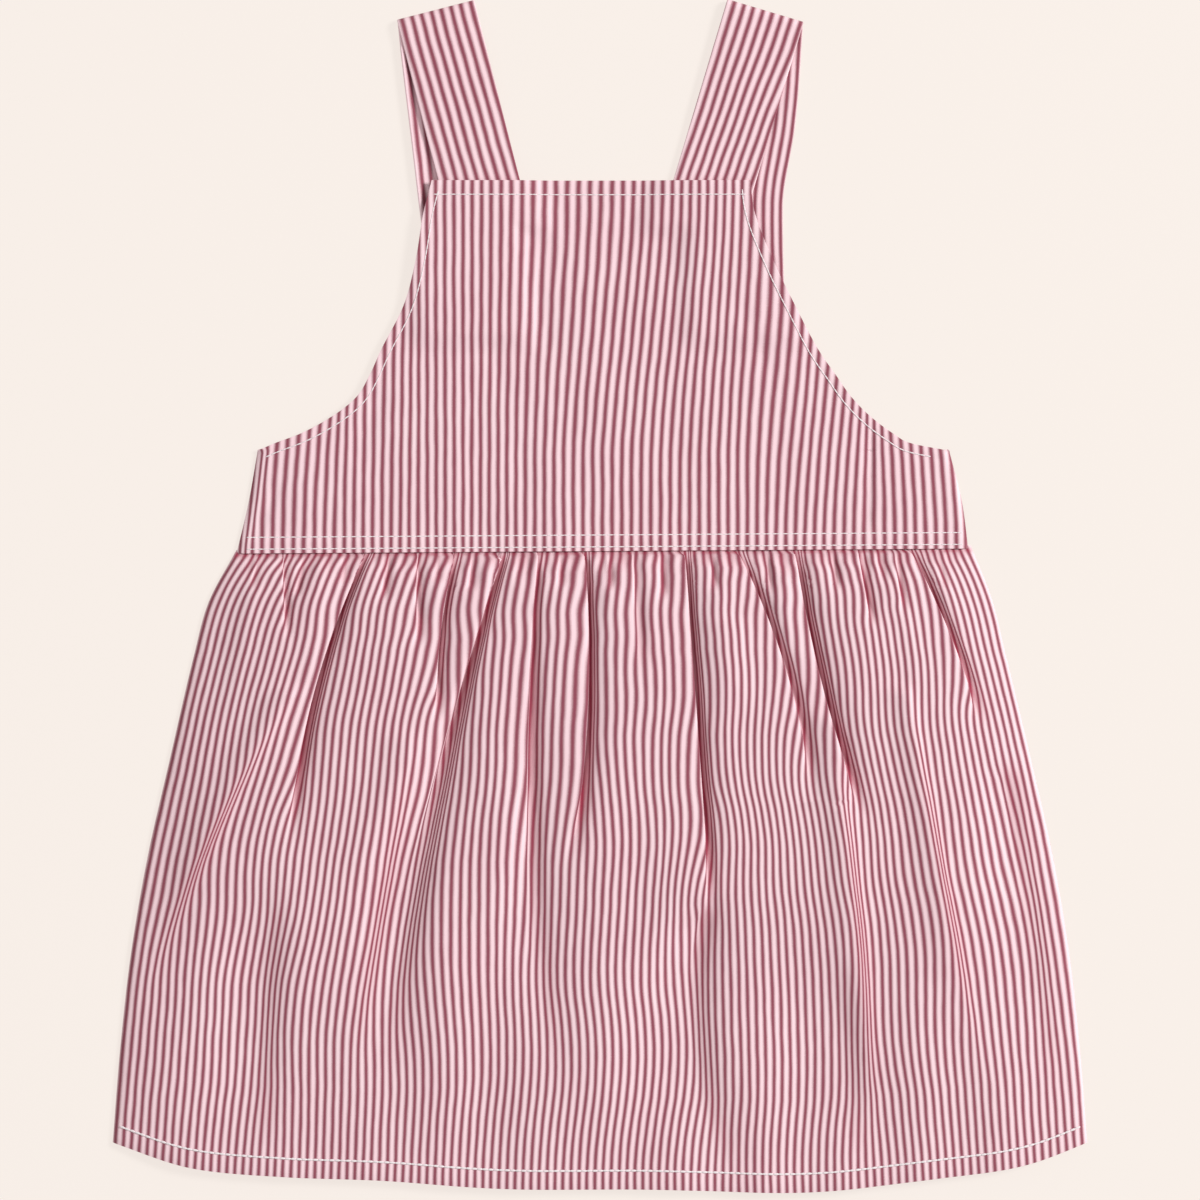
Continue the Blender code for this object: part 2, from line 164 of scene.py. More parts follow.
def distance_to(x: Array, y: Array, line: Array) -> Array:
    """Distance from each point to a line of short straight runs.

    Args:
        x: places across the garment.
        y: places along the garment.
        line: the line's points, one (x, y) in a row.

    Returns:
        The shortest distance from each point.
    """
    nearest = np.full(x.shape, np.inf)
    for start, end in zip(line[:-1], line[1:]):
        run = end - start
        length = float(run @ run)
        t = np.clip(((x - start[0]) * run[0] + (y - start[1]) * run[1]) / length, 0.0, 1.0)
        nearest = np.minimum(
            nearest, np.hypot(x - start[0] - t * run[0], y - start[1] - t * run[1]))
    return nearest


# The garment's plan -------------------------------------------------------------

class Edge(NamedTuple):
    """A height on the garment and where its left and right edges are."""

    y: float
    left: float
    right: float


class Spot(NamedTuple):
    """A place along a line and the value there."""

    at: float
    value: float


def read_spots(spots: Sequence[Spot], at: Reals) -> Array:
    """The smooth curve through a table of spots."""
    return read_curve(*zip(*spots), at)


@dataclass(frozen=True)
class Plan:
    """Outline of the laid garment, with the seams and the rows of stitches on it."""

    waist_y: float = 0.0198
    waist_tilt: float = 0.0068
    underarm_y: float = 0.0638
    bib_top_y: float = 0.1826
    back_top_y: float = 0.1280
    side_hem_y: float = -0.2402
    waist_rows: tuple[float, float] = (0.0018, 0.0070)
    armhole_row: float = 0.0040
    bib_row: float = 0.0062
    hem_row: float = 0.0083
    armhole_crowding: float = 1.8
    skirt_sides: tuple[Edge, ...] = table(
        Edge, (0.0198, -0.1600, 0.1630), (-0.002, -0.1722, 0.1722), (-0.024, -0.1785, 0.1780),
        (-0.068, -0.1890, 0.1890), (-0.112, -0.1990, 0.1990), (-0.156, -0.2064, 0.2064),
        (-0.200, -0.2112, 0.2112), (-0.2402, -0.2143, 0.2143))
    hem_line: tuple[Spot, ...] = table(
        Spot, (-0.2143, -0.2402), (-0.1813, -0.2508), (-0.1390, -0.2550), (-0.0968, -0.2566),
        (-0.0440, -0.2602), (0.0250, -0.2606), (0.0827, -0.2620), (0.1461, -0.2560),
        (0.1883, -0.2496), (0.2143, -0.2402))
    bodice_sides: tuple[Edge, ...] = table(
        Edge, (0.0198, -0.1598, 0.1620), (0.0420, -0.1545, 0.1590), (0.0638, -0.1506, 0.1536))
    front_armholes: tuple[Edge, ...] = table(
        Edge, (0.0638, -0.1506, 0.1536), (0.0672, -0.1428, 0.1365), (0.0710, -0.1325, 0.1295),
        (0.0788, -0.1180, 0.1190), (0.0871, -0.1074, 0.1108), (0.0972, -0.1012, 0.1036),
        (0.1074, -0.0966, 0.0965), (0.1280, -0.0862, 0.0855), (0.1474, -0.0810, 0.0761),
        (0.1690, -0.0774, 0.0678), (0.1826, -0.0739, 0.0660))
    back_armholes: tuple[Edge, ...] = table(
        Edge, (0.0638, -0.1506, 0.1536), (0.0665, -0.1400, 0.1345), (0.0750, -0.1200, 0.1180),
        (0.0880, -0.1010, 0.1030), (0.1060, -0.0850, 0.0860), (0.1280, -0.0744, 0.0766))

    def waist(self, x: Reals) -> Array:
        """Height of the waist seam at a place across the garment."""
        return self.waist_y + self.waist_tilt * x

    def hem(self, x: Reals) -> Array:
        """Height of the hem at a place across the garment."""
        return read_spots(self.hem_line, x)

    def sides(self, edges: Sequence[Edge], y: Reals) -> tuple[Array, Array]:
        """Left and right edge of a panel at a height."""
        heights, lefts, rights = zip(*edges)
        return read_curve(heights, lefts, y), read_curve(heights, rights, y)

    def armhole(self, edges: Sequence[Edge], to_right: bool, steps: int = 60) -> Array:
        """Points along one armhole, from the underarm to its upper end."""
        y = edges[0].y + (edges[-1].y - edges[0].y) * (
            np.linspace(0.0, 1.0, steps) ** self.armhole_crowding)
        left, right = self.sides(edges, y)
        return np.column_stack((right if to_right else left, y))

    def shift(self) -> Vector:
        """How far the frame's solids are moved from this plan."""
        low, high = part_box("skirt_front")
        centre = (self.skirt_sides[-1].left + self.skirt_sides[-1].right) / 2
        lowest = min(spot.value for spot in self.hem_line)
        return Vector(((low.x + high.x) / 2 - centre, low.y - lowest, 0.0))


class Layer(Enum):
    """Which layer of the laid garment a panel is."""

    FRONT = "front"
    BACK = "back"


# Shader maths -------------------------------------------------------------------

class Signal:
    """A number that runs through a material's nodes."""

    def __init__(self, graph: "Graph", socket: bpy.types.NodeSocket) -> None:
        """Hold an output socket of a graph."""
        self.graph = graph
        self.socket = socket

    def maths(self, operation: str, first: "Signal | float",
              second: "Signal | float" = 0.0) -> "Signal":
        """One Math node on two values."""
        return self.graph.node("ShaderNodeMath", {"operation": operation}, {0: first, 1: second})

    def __add__(self, other: "Signal | float") -> "Signal":
        """Add a value."""
        return self.maths("ADD", self, other)

    __radd__ = __add__

    def __sub__(self, other: "Signal | float") -> "Signal":
        """Take a value away."""
        return self.maths("SUBTRACT", self, other)

    def __rsub__(self, other: float) -> "Signal":
        """Take this away from a number."""
        return self.maths("SUBTRACT", other, self)

    def __mul__(self, other: "Signal | float") -> "Signal":
        """Multiply by a value."""
        return self.maths("MULTIPLY", self, other)

    __rmul__ = __mul__

    def __abs__(self) -> "Signal":
        """Drop the sign."""
        return self.maths("ABSOLUTE", self)

    def fraction(self) -> "Signal":
        """What is left after the whole part."""
        return self.maths("FRACT", self)

    def wave(self) -> "Signal":
        """Sine of the value, once for each whole number."""
        return self.maths("SINE", self * (2 * math.pi))


class Graph:
    """The nodes of one material."""

    def __init__(self, name: str) -> None:
        """Start a material with its Principled shader and output."""
        self.material = bpy.data.materials.new(name)
        self.material.use_nodes = True
        self.tree = self.material.node_tree
        self.shader = self.tree.nodes["Principled BSDF"]

    def node(self, kind: str, settings: dict[str, object],
             inputs: dict[int | str, object], output: int | str = 0) -> Signal:
        """Make a node.

        Args:
            kind: the node's type.
            settings: its own settings, which are set first.
            inputs: the value or signal of each socket, by index or name.
            output: the output that the signal carries.

        Returns:
            The signal of that output.
        """
        made = self.tree.nodes.new(kind)
        for name, value in settings.items():
            setattr(made, name, value)
        self.feed(made, inputs)
        return Signal(self, made.outputs[output])

    def feed(self, node: bpy.types.Node, inputs: dict[int | str, object]) -> None:
        """Link a signal to each socket that is named, or set the socket's own value."""
        for name, value in inputs.items():
            if isinstance(value, Signal):
                self.tree.links.new(value.socket, node.inputs[name])
            else:
                node.inputs[name].default_value = value

    def parts(self, place: Signal) -> list[Signal]:
        """The first two numbers of a vector."""
        return [self.node("ShaderNodeSeparateXYZ", {}, {0: place}, name) for name in "XY"]

    def noise(self, across: Signal, along: Signal, scale: tuple[float, float],
              detail: float = 2.0, roughness: float = 0.5) -> Signal:
        """Soft noise from 0 to 1, at a place that is scaled in each direction."""
        place = self.node("ShaderNodeCombineXYZ", {}, {0: across * scale[0], 1: along * scale[1]})
        return self.node("ShaderNodeTexNoise", {"noise_dimensions": "2D"},
                         {"Vector": place, "Scale": 1.0, "Detail": detail,
                          "Roughness": roughness}, "Fac")

    def blend(self, share: Signal, first: "Signal | Colour", second: "Signal | Colour") -> Signal:
        """Mix two colours."""
        return self.node("ShaderNodeMix", {"data_type": "RGBA"},
                         {"Factor": share, 6: first, 7: second}, 2)

    def bump(self, height: Signal, strength: float, distance: float) -> Signal:
        """A normal that is turned by a relief."""
        return self.node("ShaderNodeBump", {}, {"Strength": strength, "Distance": distance,
                                                "Height": height}, "Normal")


def colour(red: int, green: int, blue: int) -> Colour:
    """A display colour in the renderer's linear values."""
    def linear(level: int) -> float:
        """One channel, from 0 to 255."""
        share = level / 255.0
        return share / 12.92 if share <= 0.04045 else ((share + 0.055) / 1.055) ** 2.4
    return linear(red), linear(green), linear(blue), 1.0


# Finishes -----------------------------------------------------------------------

@dataclass(frozen=True)
class StripedTwill:
    """Yarn-dyed cotton twill: red stripes on white, matt, a little washed, with painted shade in
    its folds.

    The scales are how fast each kind of unevenness changes across and along.
    """

    pitch: float = STRIPE_PITCH
    red_share: float = 0.48
    edge_softness: float = 0.40
    edge_wander: float = 0.15
    edge_fuzz: float = 0.08
    red: Colour = colour(160, 84, 99)
    dark_red: Colour = colour(132, 64, 80)
    white: Colour = colour(255, 230, 235)
    shaded_white: Colour = colour(255, 214, 223)
    # painted shade: the dark red that folds, slits and the waist seam turn to, and how far they
    # turn
    painted_fold_shade_red: Colour = colour(172, 48, 76)
    painted_fold_shade_share: float = 0.68
    roughness: float = 0.86
    roughness_range: float = 0.10
    specular: float = 0.25
    sheen: float = 0.18
    sheen_roughness: float = 0.45
    twill_pitch: float = 0.00078
    twill_slant: float = 0.8
    yarn_pitch: float = 0.00042
    weave_height: float = 0.000035
    weave_strength: float = 0.6
    wander_scale: tuple[float, float] = (0.6, 55.0)
    fuzz_scale: tuple[float, float] = (2600.0, 1500.0)
    yarn_scale: tuple[float, float] = (1900.0, 160.0)
    cloud_scale: tuple[float, float] = (34.0, 26.0)

    def material(self, name: str) -> bpy.types.Material:
        """The finish as nodes on the cloth's own UV map, in metres, with painted shade in the
        folds.
        """
        graph = Graph(name)
        across, along = graph.parts(graph.node("ShaderNodeUVMap", {"uv_map": UV_NAME}, {}))
        stripes = across * (1.0 / self.pitch)
        wander = graph.noise(stripes, along, self.wander_scale)
        fuzz = graph.noise(across, along, self.fuzz_scale, 3.0)
        phase = (stripes + 0.5 + (wander - 0.5) * self.edge_wander
                 + (fuzz - 0.5) * self.edge_fuzz).fraction()
        yarn = graph.noise(across, along, self.yarn_scale, 3.0, 0.6)
        cloud = graph.noise(across, along, self.cloud_scale, 3.0)
        red = graph.blend(yarn * 0.75 + cloud * 0.35 - 0.05, self.dark_red, self.red)
        white = graph.blend(yarn * 0.5 + cloud * 0.6 - 0.05, self.shaded_white, self.white)
        striped = graph.blend(self.in_red(graph, abs(phase - 0.5)), white, red)
        # Painted shade: the colour turns to a dark red as far as the mesh's fold-shade attribute
        # says.
        deep = graph.node("ShaderNodeAttribute", {"attribute_name": FOLD_SHADE_ATTRIBUTE}, {}, "Fac")
        graph.feed(graph.shader, {
            "Base Color": graph.blend(deep * self.painted_fold_shade_share, striped, self.painted_fold_shade_red),
            "Roughness": yarn * self.roughness_range
            + (self.roughness - self.roughness_range / 2),
            "Normal": self.weave(graph, across, along, fuzz),
            "Specular IOR Level": self.specular, "Sheen Weight": self.sheen,
            "Sheen Roughness": self.sheen_roughness})
        return graph.material

    def in_red(self, graph: Graph, from_middle: Signal) -> Signal:
        """1 inside a red stripe and 0 outside, with soft edges."""
        half, soft = self.red_share / 2, self.edge_softness / 2
        return graph.node(
            "ShaderNodeMapRange", {"interpolation_type": "SMOOTHSTEP"},
            {"Value": from_middle, "From Min": half - soft, "From Max": half + soft,
             "To Min": 1.0, "To Max": 0.0})

    def weave(self, graph: Graph, across: Signal, along: Signal, fuzz: Signal) -> Signal:
        """Fine diagonal lines of the twill, crossed by its yarns."""
        diagonal = (across * (1.0 / self.twill_pitch)
                    + along * (self.twill_slant / self.twill_pitch)).wave()
        yarns = (across * (1.0 / self.yarn_pitch)).wave()
        return graph.bump(diagonal * 0.5 + yarns * 0.2 + fuzz * 0.8, self.weave_strength,
                          self.weave_height)


@dataclass(frozen=True)
class Thread:
    """White sewing thread with a little twist."""

    white: Colour = colour(250, 242, 243)
    shaded: Colour = colour(236, 222, 226)
    twist_pitch: float = 0.0006
    twist_height: float = 0.00004
    twist_strength: float = 0.5
    roughness: float = 0.6
    sheen: float = 0.1

    def material(self, name: str) -> bpy.types.Material:
        """The finish as nodes on Object coordinates."""
        graph = Graph(name)
        x, y = graph.parts(graph.node("ShaderNodeTexCoord", {}, {}, "Object"))
        twist = ((x + y) * (1.0 / self.twist_pitch)).wave() * 0.5 + 0.5
        graph.feed(graph.shader, {
            "Base Color": graph.blend(twist, self.shaded, self.white),
            "Normal": graph.bump(twist, self.twist_strength, self.twist_height),
            "Roughness": self.roughness, "Sheen Weight": self.sheen})
        return graph.material


@dataclass(frozen=True)
class LitTable:
    """The pale cream surface under the garment, lit from inside so shadows stay faint."""

    cream: Colour = colour(104, 100, 97)
    warmer: Colour = colour(103, 99, 96)
    cloud_scale: float = 3.0
    roughness: float = 0.9
    specular: float = 0.2
    glow: Colour = colour(248, 239, 232)
    glow_strength: float = 0.853

    def material(self, name: str) -> bpy.types.Material:
        """The finish as nodes on Object coordinates."""
        graph = Graph(name)
        place = graph.node("ShaderNodeTexCoord", {}, {}, "Object")
        cloud = graph.node("ShaderNodeTexNoise", {"noise_dimensions": "3D"},
                           {"Vector": place, "Scale": self.cloud_scale, "Detail": 1.0}, "Fac")
        graph.feed(graph.shader, {
            "Base Color": graph.blend(cloud, self.warmer, self.cream),
            "Roughness": self.roughness, "Specular IOR Level": self.specular,
            "Emission Color": self.glow, "Emission Strength": self.glow_strength})
        return graph.material


# Folds --------------------------------------------------------------------------

@dataclass(frozen=True)
class Fold:
    """A line that runs down the skirt, along which the cloth rises or dips.

    Its course is a curve through its top, middle and low end. ``share`` is how
    much of the skirt's rise it adds or takes, and the widths are half widths at
    the two ends.
    """

    top_x: float
    mid_x: float
    low_x: float
    top_y: float
    low_y: float
    share: float
    top_width: float
    low_width: float
    stripes: float = 0.0
    ending: float = 0.45          # share of its course over which it dies away
    slope_at: float = 0.45        # middle of its short slope, in half widths
    slope_width: float = 0.42     # how wide its crowded cloth lies, in half widths
    slope_shade: float = 0.24     # how much painted shade it takes there, for each stripe

    def down(self, y: Array) -> Array:
        """How far down its course a height is, from 0 to 1."""
        return np.clip((self.top_y - y) / (self.top_y - self.low_y), 0.0, 1.0)

    def centre(self, y: Array) -> Array:
        """Where its middle is, across the skirt."""
        t = self.down(y)
        return (self.top_x * 2 * (t - 0.5) * (t - 1) + self.mid_x * 4 * t * (1 - t)
                + self.low_x * 2 * t * (t - 0.5))

    def width(self, y: Array) -> Array:
        """Its half width at a height."""
        return self.top_width + (self.low_width - self.top_width) * self.down(y)

    def strength(self, y: Array) -> Array:
        """How much of it is left at a height: a wide one starts slowly, and all die away."""
        start = 0.0035 + 9.0 * max(self.top_width - NARROW, 0.0)
        past_top = smooth((self.top_y + 0.001 - y) / start)
        return past_top * smooth(
            (y - self.low_y) / (self.ending * (self.top_y - self.low_y)) + 0.08)

    def middle_share(self, y: Array) -> Array:
        """1 in the middle of its course, fading slowly to 0 at both ends."""
        down = self.down(y)
        return smooth(down / 0.5) * smooth((1.0 - down) / 0.5)

    def swell(self, x: Array, y: Array) -> Array:
        """A ridge with a long left slope and a short right one, from 0 to 1."""
        offset = x - self.centre(y)
        reach = np.where(offset < 0.0, 1.7, 0.75) * self.width(y)
        return bell(offset, reach) * self.strength(y)

    def from_slope(self, x: Array, y: Array) -> Array:
        """Distance from the middle of its short right slope."""
        return x - self.centre(y) - self.slope_at * self.width(y)

    def hidden(self, x: Array, y: Array) -> Array:
        """Cloth crowded on its short slope, for each length across the skirt."""
        crowded = self.stripes * STRIPE_PITCH * self.middle_share(y)
        return crowded * hump(self.from_slope(x, y), self.slope_width * self.width(y))

    def deep(self, x: Array, y: Array) -> Array:
        """How much painted shade its crowded slope takes, from 0 to 1."""
        felt = bell(self.from_slope(x, y), 0.55 * self.width(y))
        return self.slope_shade * self.stripes * felt * self.middle_share(y)


@dataclass(frozen=True)
class Trough(Fold):
    """A fold whose left panel overhangs its flat bottom, with a crowded right flank.

    ``stripes`` is how much cloth it takes in at its top, and ``lip`` how far its
    left panel leans over it while it is narrow.
    """

    lip: float = 0.0028
    lip_reach: float = 0.0070
    whole_lip: float = 0.060      # length of course from which the lip is whole
    wall_width: float = 0.27      # its left wall while it is a slit, in half widths
    valley_range: float = 0.0048  # how much wider than a slit a full valley is

    def softness(self, y: Array) -> Array:
        """0 where it is a narrow slit, 1 where it is a wide valley."""
        return smooth((self.width(y) - NARROW) / self.valley_range)

    def left_wall(self, offset: Array, y: Array) -> Array:
        """How much of its depth is felt at a distance to the left."""
        fading = 1.0 - smooth(self.strength(y) / 0.35)
        steep = self.width(y) * (self.wall_width + 2.13 * self.softness(y) + 0.6 * fading)
        round_off = 0.12 * (1.0 - self.softness(y))
        return ((1.0 - round_off) * np.exp(-np.abs(offset / steep) ** 2.3)
                + round_off * bell(offset, self.width(y) * 1.3))

    def right_flank(self, offset: Array, y: Array) -> Array:
        """How much of its depth is felt at a distance to the right."""
        soft = self.softness(y)
        slit = 0.60 * (1.0 - soft)
        return (slit * np.exp(-np.abs(offset / (self.width(y) * 0.60)) ** 3.0)
                + (1.0 - slit) * bell(offset, self.width(y) * (1.40 - 0.55 * soft)))

    def tuck(self, x: Array, y: Array) -> Array:
        """How much of its depth is felt, from 0 to 1."""
        offset = x - self.centre(y)
        felt = np.where(offset < 0.0, self.left_wall(offset, y), self.right_flank(offset, y))
        return felt * self.strength(y)

    def overhang(self, x: Array, y: Array) -> Array:
        """How far the left panel is pushed over it."""
        offset = np.minimum(x - self.centre(y), 0.0)
        rim = 1.0 - np.exp(-np.abs(offset / (self.width(y) * self.wall_width)) ** 2.4)
        held = smooth((self.strength(y) - 0.10) / 0.70)
        long = min(1.0, (self.top_y - self.low_y) / self.whole_lip)
        reach = self.lip * self.share * (1.0 - self.softness(y)) * held * long
        return reach * rim * bell(offset, self.lip_reach)

    def crowd(self, x: Array, y: Array) -> Array:
        """How much finer the mesh is here, for a sharp wall."""
        return (bell(x - self.centre(y), self.width(y)) * self.strength(y)
                * (1.0 - 0.8 * self.softness(y)))

    def hidden(self, x: Array, y: Array) -> Array:
        """Cloth folded under its lip and crowded on its right flank."""
        soft = self.softness(y)
        offset = x - self.centre(y)
        own = self.width(y)
        cloth = self.stripes * STRIPE_PITCH
        if self.top_width > NARROW:
            folded, crowded = 0.0, cloth * self.middle_share(y)
        else:
            kept = 0.55 * cloth * (1.0 - self.down(y) ** 2) ** 2
            folded = kept * (1.0 - soft)
            crowded = 0.45 * cloth * smooth((1.0 - self.down(y)) / 0.45) + 0.8 * kept * soft
        return (folded * hump(offset + 0.20 * own, 0.13 * own)
                + crowded * hump(offset - own * (0.66 - 0.16 * soft), own * (0.25 + 0.15 * soft)))

    def deep(self, x: Array, y: Array) -> Array:
        """How much painted shade a place takes for lying deep in the fold, from 0 to 1: most in
        its slit.
        """
        soft = self.softness(y)
        offset = x - self.centre(y)
        own = self.width(y)
        slit = bell(offset - 0.18 * own, 0.30 * own) * (1.0 - soft)
        flank = bell(offset - own * (0.62 - 0.12 * soft), 0.34 * own) * (0.50 - 0.22 * soft)
        return np.maximum(slit, flank) * self.share * smooth(self.strength(y) / 0.6)


@dataclass(frozen=True)
class Gather:
    """A small gather at the waist seam."""

    x: float
    length: float
    share: float
    width: float = 0.0026
    drawn_in: float = 0.0020
    spread: float = 1.6

    def tuck(self, seam_y: float) -> Trough:
        """The gather as a short trough that leans away from the middle."""
        return Trough(self.x, self.x * (1.0 + 0.5 * self.spread * self.length),
                      self.x * (1.0 + self.spread * self.length), seam_y,
                      seam_y - self.length, self.share, self.width, 1.3 * self.width,
                      stripes=0.15, lip=0.0012)

    def felt(self, x: Array, drop: Array) -> Array:
        """How strongly it is felt, by place across and distance below the seam."""
        centre = self.x * (1.0 + self.spread * np.maximum(drop, 0.0))
        width = self.width * (1.0 + 0.6 * np.maximum(drop, 0.0) / self.length)
        return bell(x - centre, width) * smooth(1.0 - drop / self.length)

    def hidden(self, x: Array, drop: Array) -> Array:
        """Cloth folded away in it, for each length across the skirt."""
        return self.felt(x, drop) * self.drawn_in * self.share / (self.width * math.sqrt(math.pi))


# Cloth --------------------------------------------------------------------------

def put(name: str, data: bpy.types.ID) -> bpy.types.Object:
    """A new object in the scene."""
    made = bpy.data.objects.new(name, data)
    bpy.context.scene.collection.objects.link(made)
    return made


def put_form(name: str, form: bmesh.types.BMesh, material: bpy.types.Material
             ) -> bpy.types.Object:
    """A new object in the scene that takes over a modelled form."""
    mesh = bpy.data.meshes.new(name)
    form.to_mesh(mesh)
    form.free()
    mesh.materials.append(material)
    return put(name, mesh)


@dataclass
class Cloth(ABC):
    """A piece of cloth: a grid laid on its form, with a wall and soft edges.

    The grid is the outer face, seen from above or, with ``faces_down``, from
    below. ``wall_side`` is -1 for a wall behind it and 0 for a wall on both
    sides, and ``first_stripe`` is where the stripes start.
    """

    plan: Plan
    finish: StripedTwill
    name: str
    node: str
    slot: str
    columns: int
    rows: int
    wall: float
    edge_round: float = 0.00028
    faces_down: bool = False
    wall_side: float = -1.0
    first_stripe: float = 0.0
    # painted shade for each grid point, from 0 to 1, kept on the mesh for its material
    deep: Array | None = None

    @abstractmethod
    def lay(self, across: Array, along: Array) -> tuple[Array, Array]:
        """Places and cloth coordinates of the grid's points.

        Args:
            across: each point's share of the way across, from 0 to 1.
            along: each point's share of the way along, from 0 to 1.

        Returns:
            The points, (x, y, z) in a row, and their UVs, (u, v) in metres.
        """

    @abstractmethod
    def declare(self, piece: bpy.types.Object) -> None:
        """A step on each built piece; the pieces here do nothing in it."""

    def build(self) -> None:
        """Model the piece, dress it and put it in the frame."""
        sheet = bmesh.new()
        bmesh.ops.create_grid(sheet, x_segments=self.columns, y_segments=self.rows, size=1.0)
        across = np.array([vert.co.x for vert in sheet.verts]) * 0.5 + 0.5
        along = np.array([vert.co.y for vert in sheet.verts]) * 0.5 + 0.5
        points, uvs = self.lay(across, along)
        points = points + np.array(self.plan.shift())
        # each point's painted shade goes onto the mesh as an attribute
        deep = np.zeros(len(points)) if self.deep is None else self.deep
        uv_layer = sheet.loops.layers.uv.new(UV_NAME)
        fold_shade_layer = sheet.verts.layers.float.new(FOLD_SHADE_ATTRIBUTE)
        for vert, point, depth in zip(sheet.verts, points, deep):
            vert.co = point
            vert[fold_shade_layer] = float(depth)
        for face in sheet.faces:
            face.smooth = True
            for loop in face.loops:
                loop[uv_layer].uv = uvs[loop.vert.index]
        if self.faces_down:
            bmesh.ops.reverse_faces(sheet, faces=sheet.faces)
        piece = put_form(self.name, sheet, self.finish.material(self.name + "_twill"))
        self.thicken(piece)
        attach(piece, BODY)
        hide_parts(self.node)
        self.declare(piece)
        LOG.info("%s: %d faces in its sheet", self.name, len(piece.data.polygons))

    def thicken(self, piece: bpy.types.Object) -> None:
        """Give the sheet its wall and round the wall's edges."""
        wall = piece.modifiers.new("wall", "SOLIDIFY")
        wall.thickness = self.wall
        wall.offset = self.wall_side
        wall.use_even_offset = False
        wall.use_quality_normals = True
        edges = piece.modifiers.new("edges", "BEVEL")
        edges.width = self.edge_round
        edges.segments = 2
        edges.limit_method = "ANGLE"
        edges.angle_limit = math.radians(72.0)
        edges.use_clamp_overlap = True


@dataclass
class Skirt(Cloth):
    """What both skirt panels share: the cut cloth and its place in the plan."""

    cloth_width: float = 122 * STRIPE_PITCH
    cloth_length: float = 0.278
    row_crowding: float = 1.35
    tuck_under: float = 0.0014
    pressed_count: int = 13
    pressed_reach: float = 0.150
    pressed_width: float = 0.0045
    pressed_lift: float = 0.0008

    def outline(self, across: Array, down: Array, inset: float = 0.0
                ) -> tuple[Array, Array, Array]:
        """Plan of a skirt panel.

        Args:
            across: shares of the way across.
            down: shares of the way from the waist, 0, to the hem, 1.
            inset: how far its side edges stand in from the garment's outline.

        Returns:
            Places across, places along, and the distance from the nearer side.
        """
        plan = self.plan
        nominal = plan.waist_y + (plan.side_hem_y - plan.waist_y) * down
        left, right = plan.sides(plan.skirt_sides, nominal)
        left, right = left + inset, right - inset
        x = left + (right - left) * across
        top = plan.waist(x) + self.tuck_under
        y = top + (plan.hem(x) - top) * down
        return x, y, np.minimum(x - left, right - x)

    def pressed(self, x: Array, y: Array) -> Array:
        """Lift of the skirt back's pressed gathers above the surface."""
        lift = np.zeros(np.broadcast(x, y).shape)
        drop = self.plan.waist(x) - y
        pitch = 2 * self.pressed_reach / (self.pressed_count - 1)
        for index in range(self.pressed_count):
            seam_x = -self.pressed_reach + pitch * index + 0.005 * math.sin(2.4 * index)
            length = 0.070 + 0.028 * math.sin(1.7 * index + 0.6)
            strength = smooth(drop / 0.006) * smooth((length - drop) / (0.6 * length))
            lift += strength * bell(x - seam_x * (1.0 + 1.1 * drop), self.pressed_width)
        return self.pressed_lift * np.clip(lift, 0.0, 1.0)


class Profile(NamedTuple):
    """A section across the skirt, from its left side to its right.

    ``laid`` has rows for x, y, z, how much cloth lies to the left and how much
    painted shade it takes for lying deep in a fold. ``placed`` counts the mesh
    along the section, and ``anchored`` holds that count at the fixed columns.
    """

    laid: Array
    placed: Array
    anchored: Array


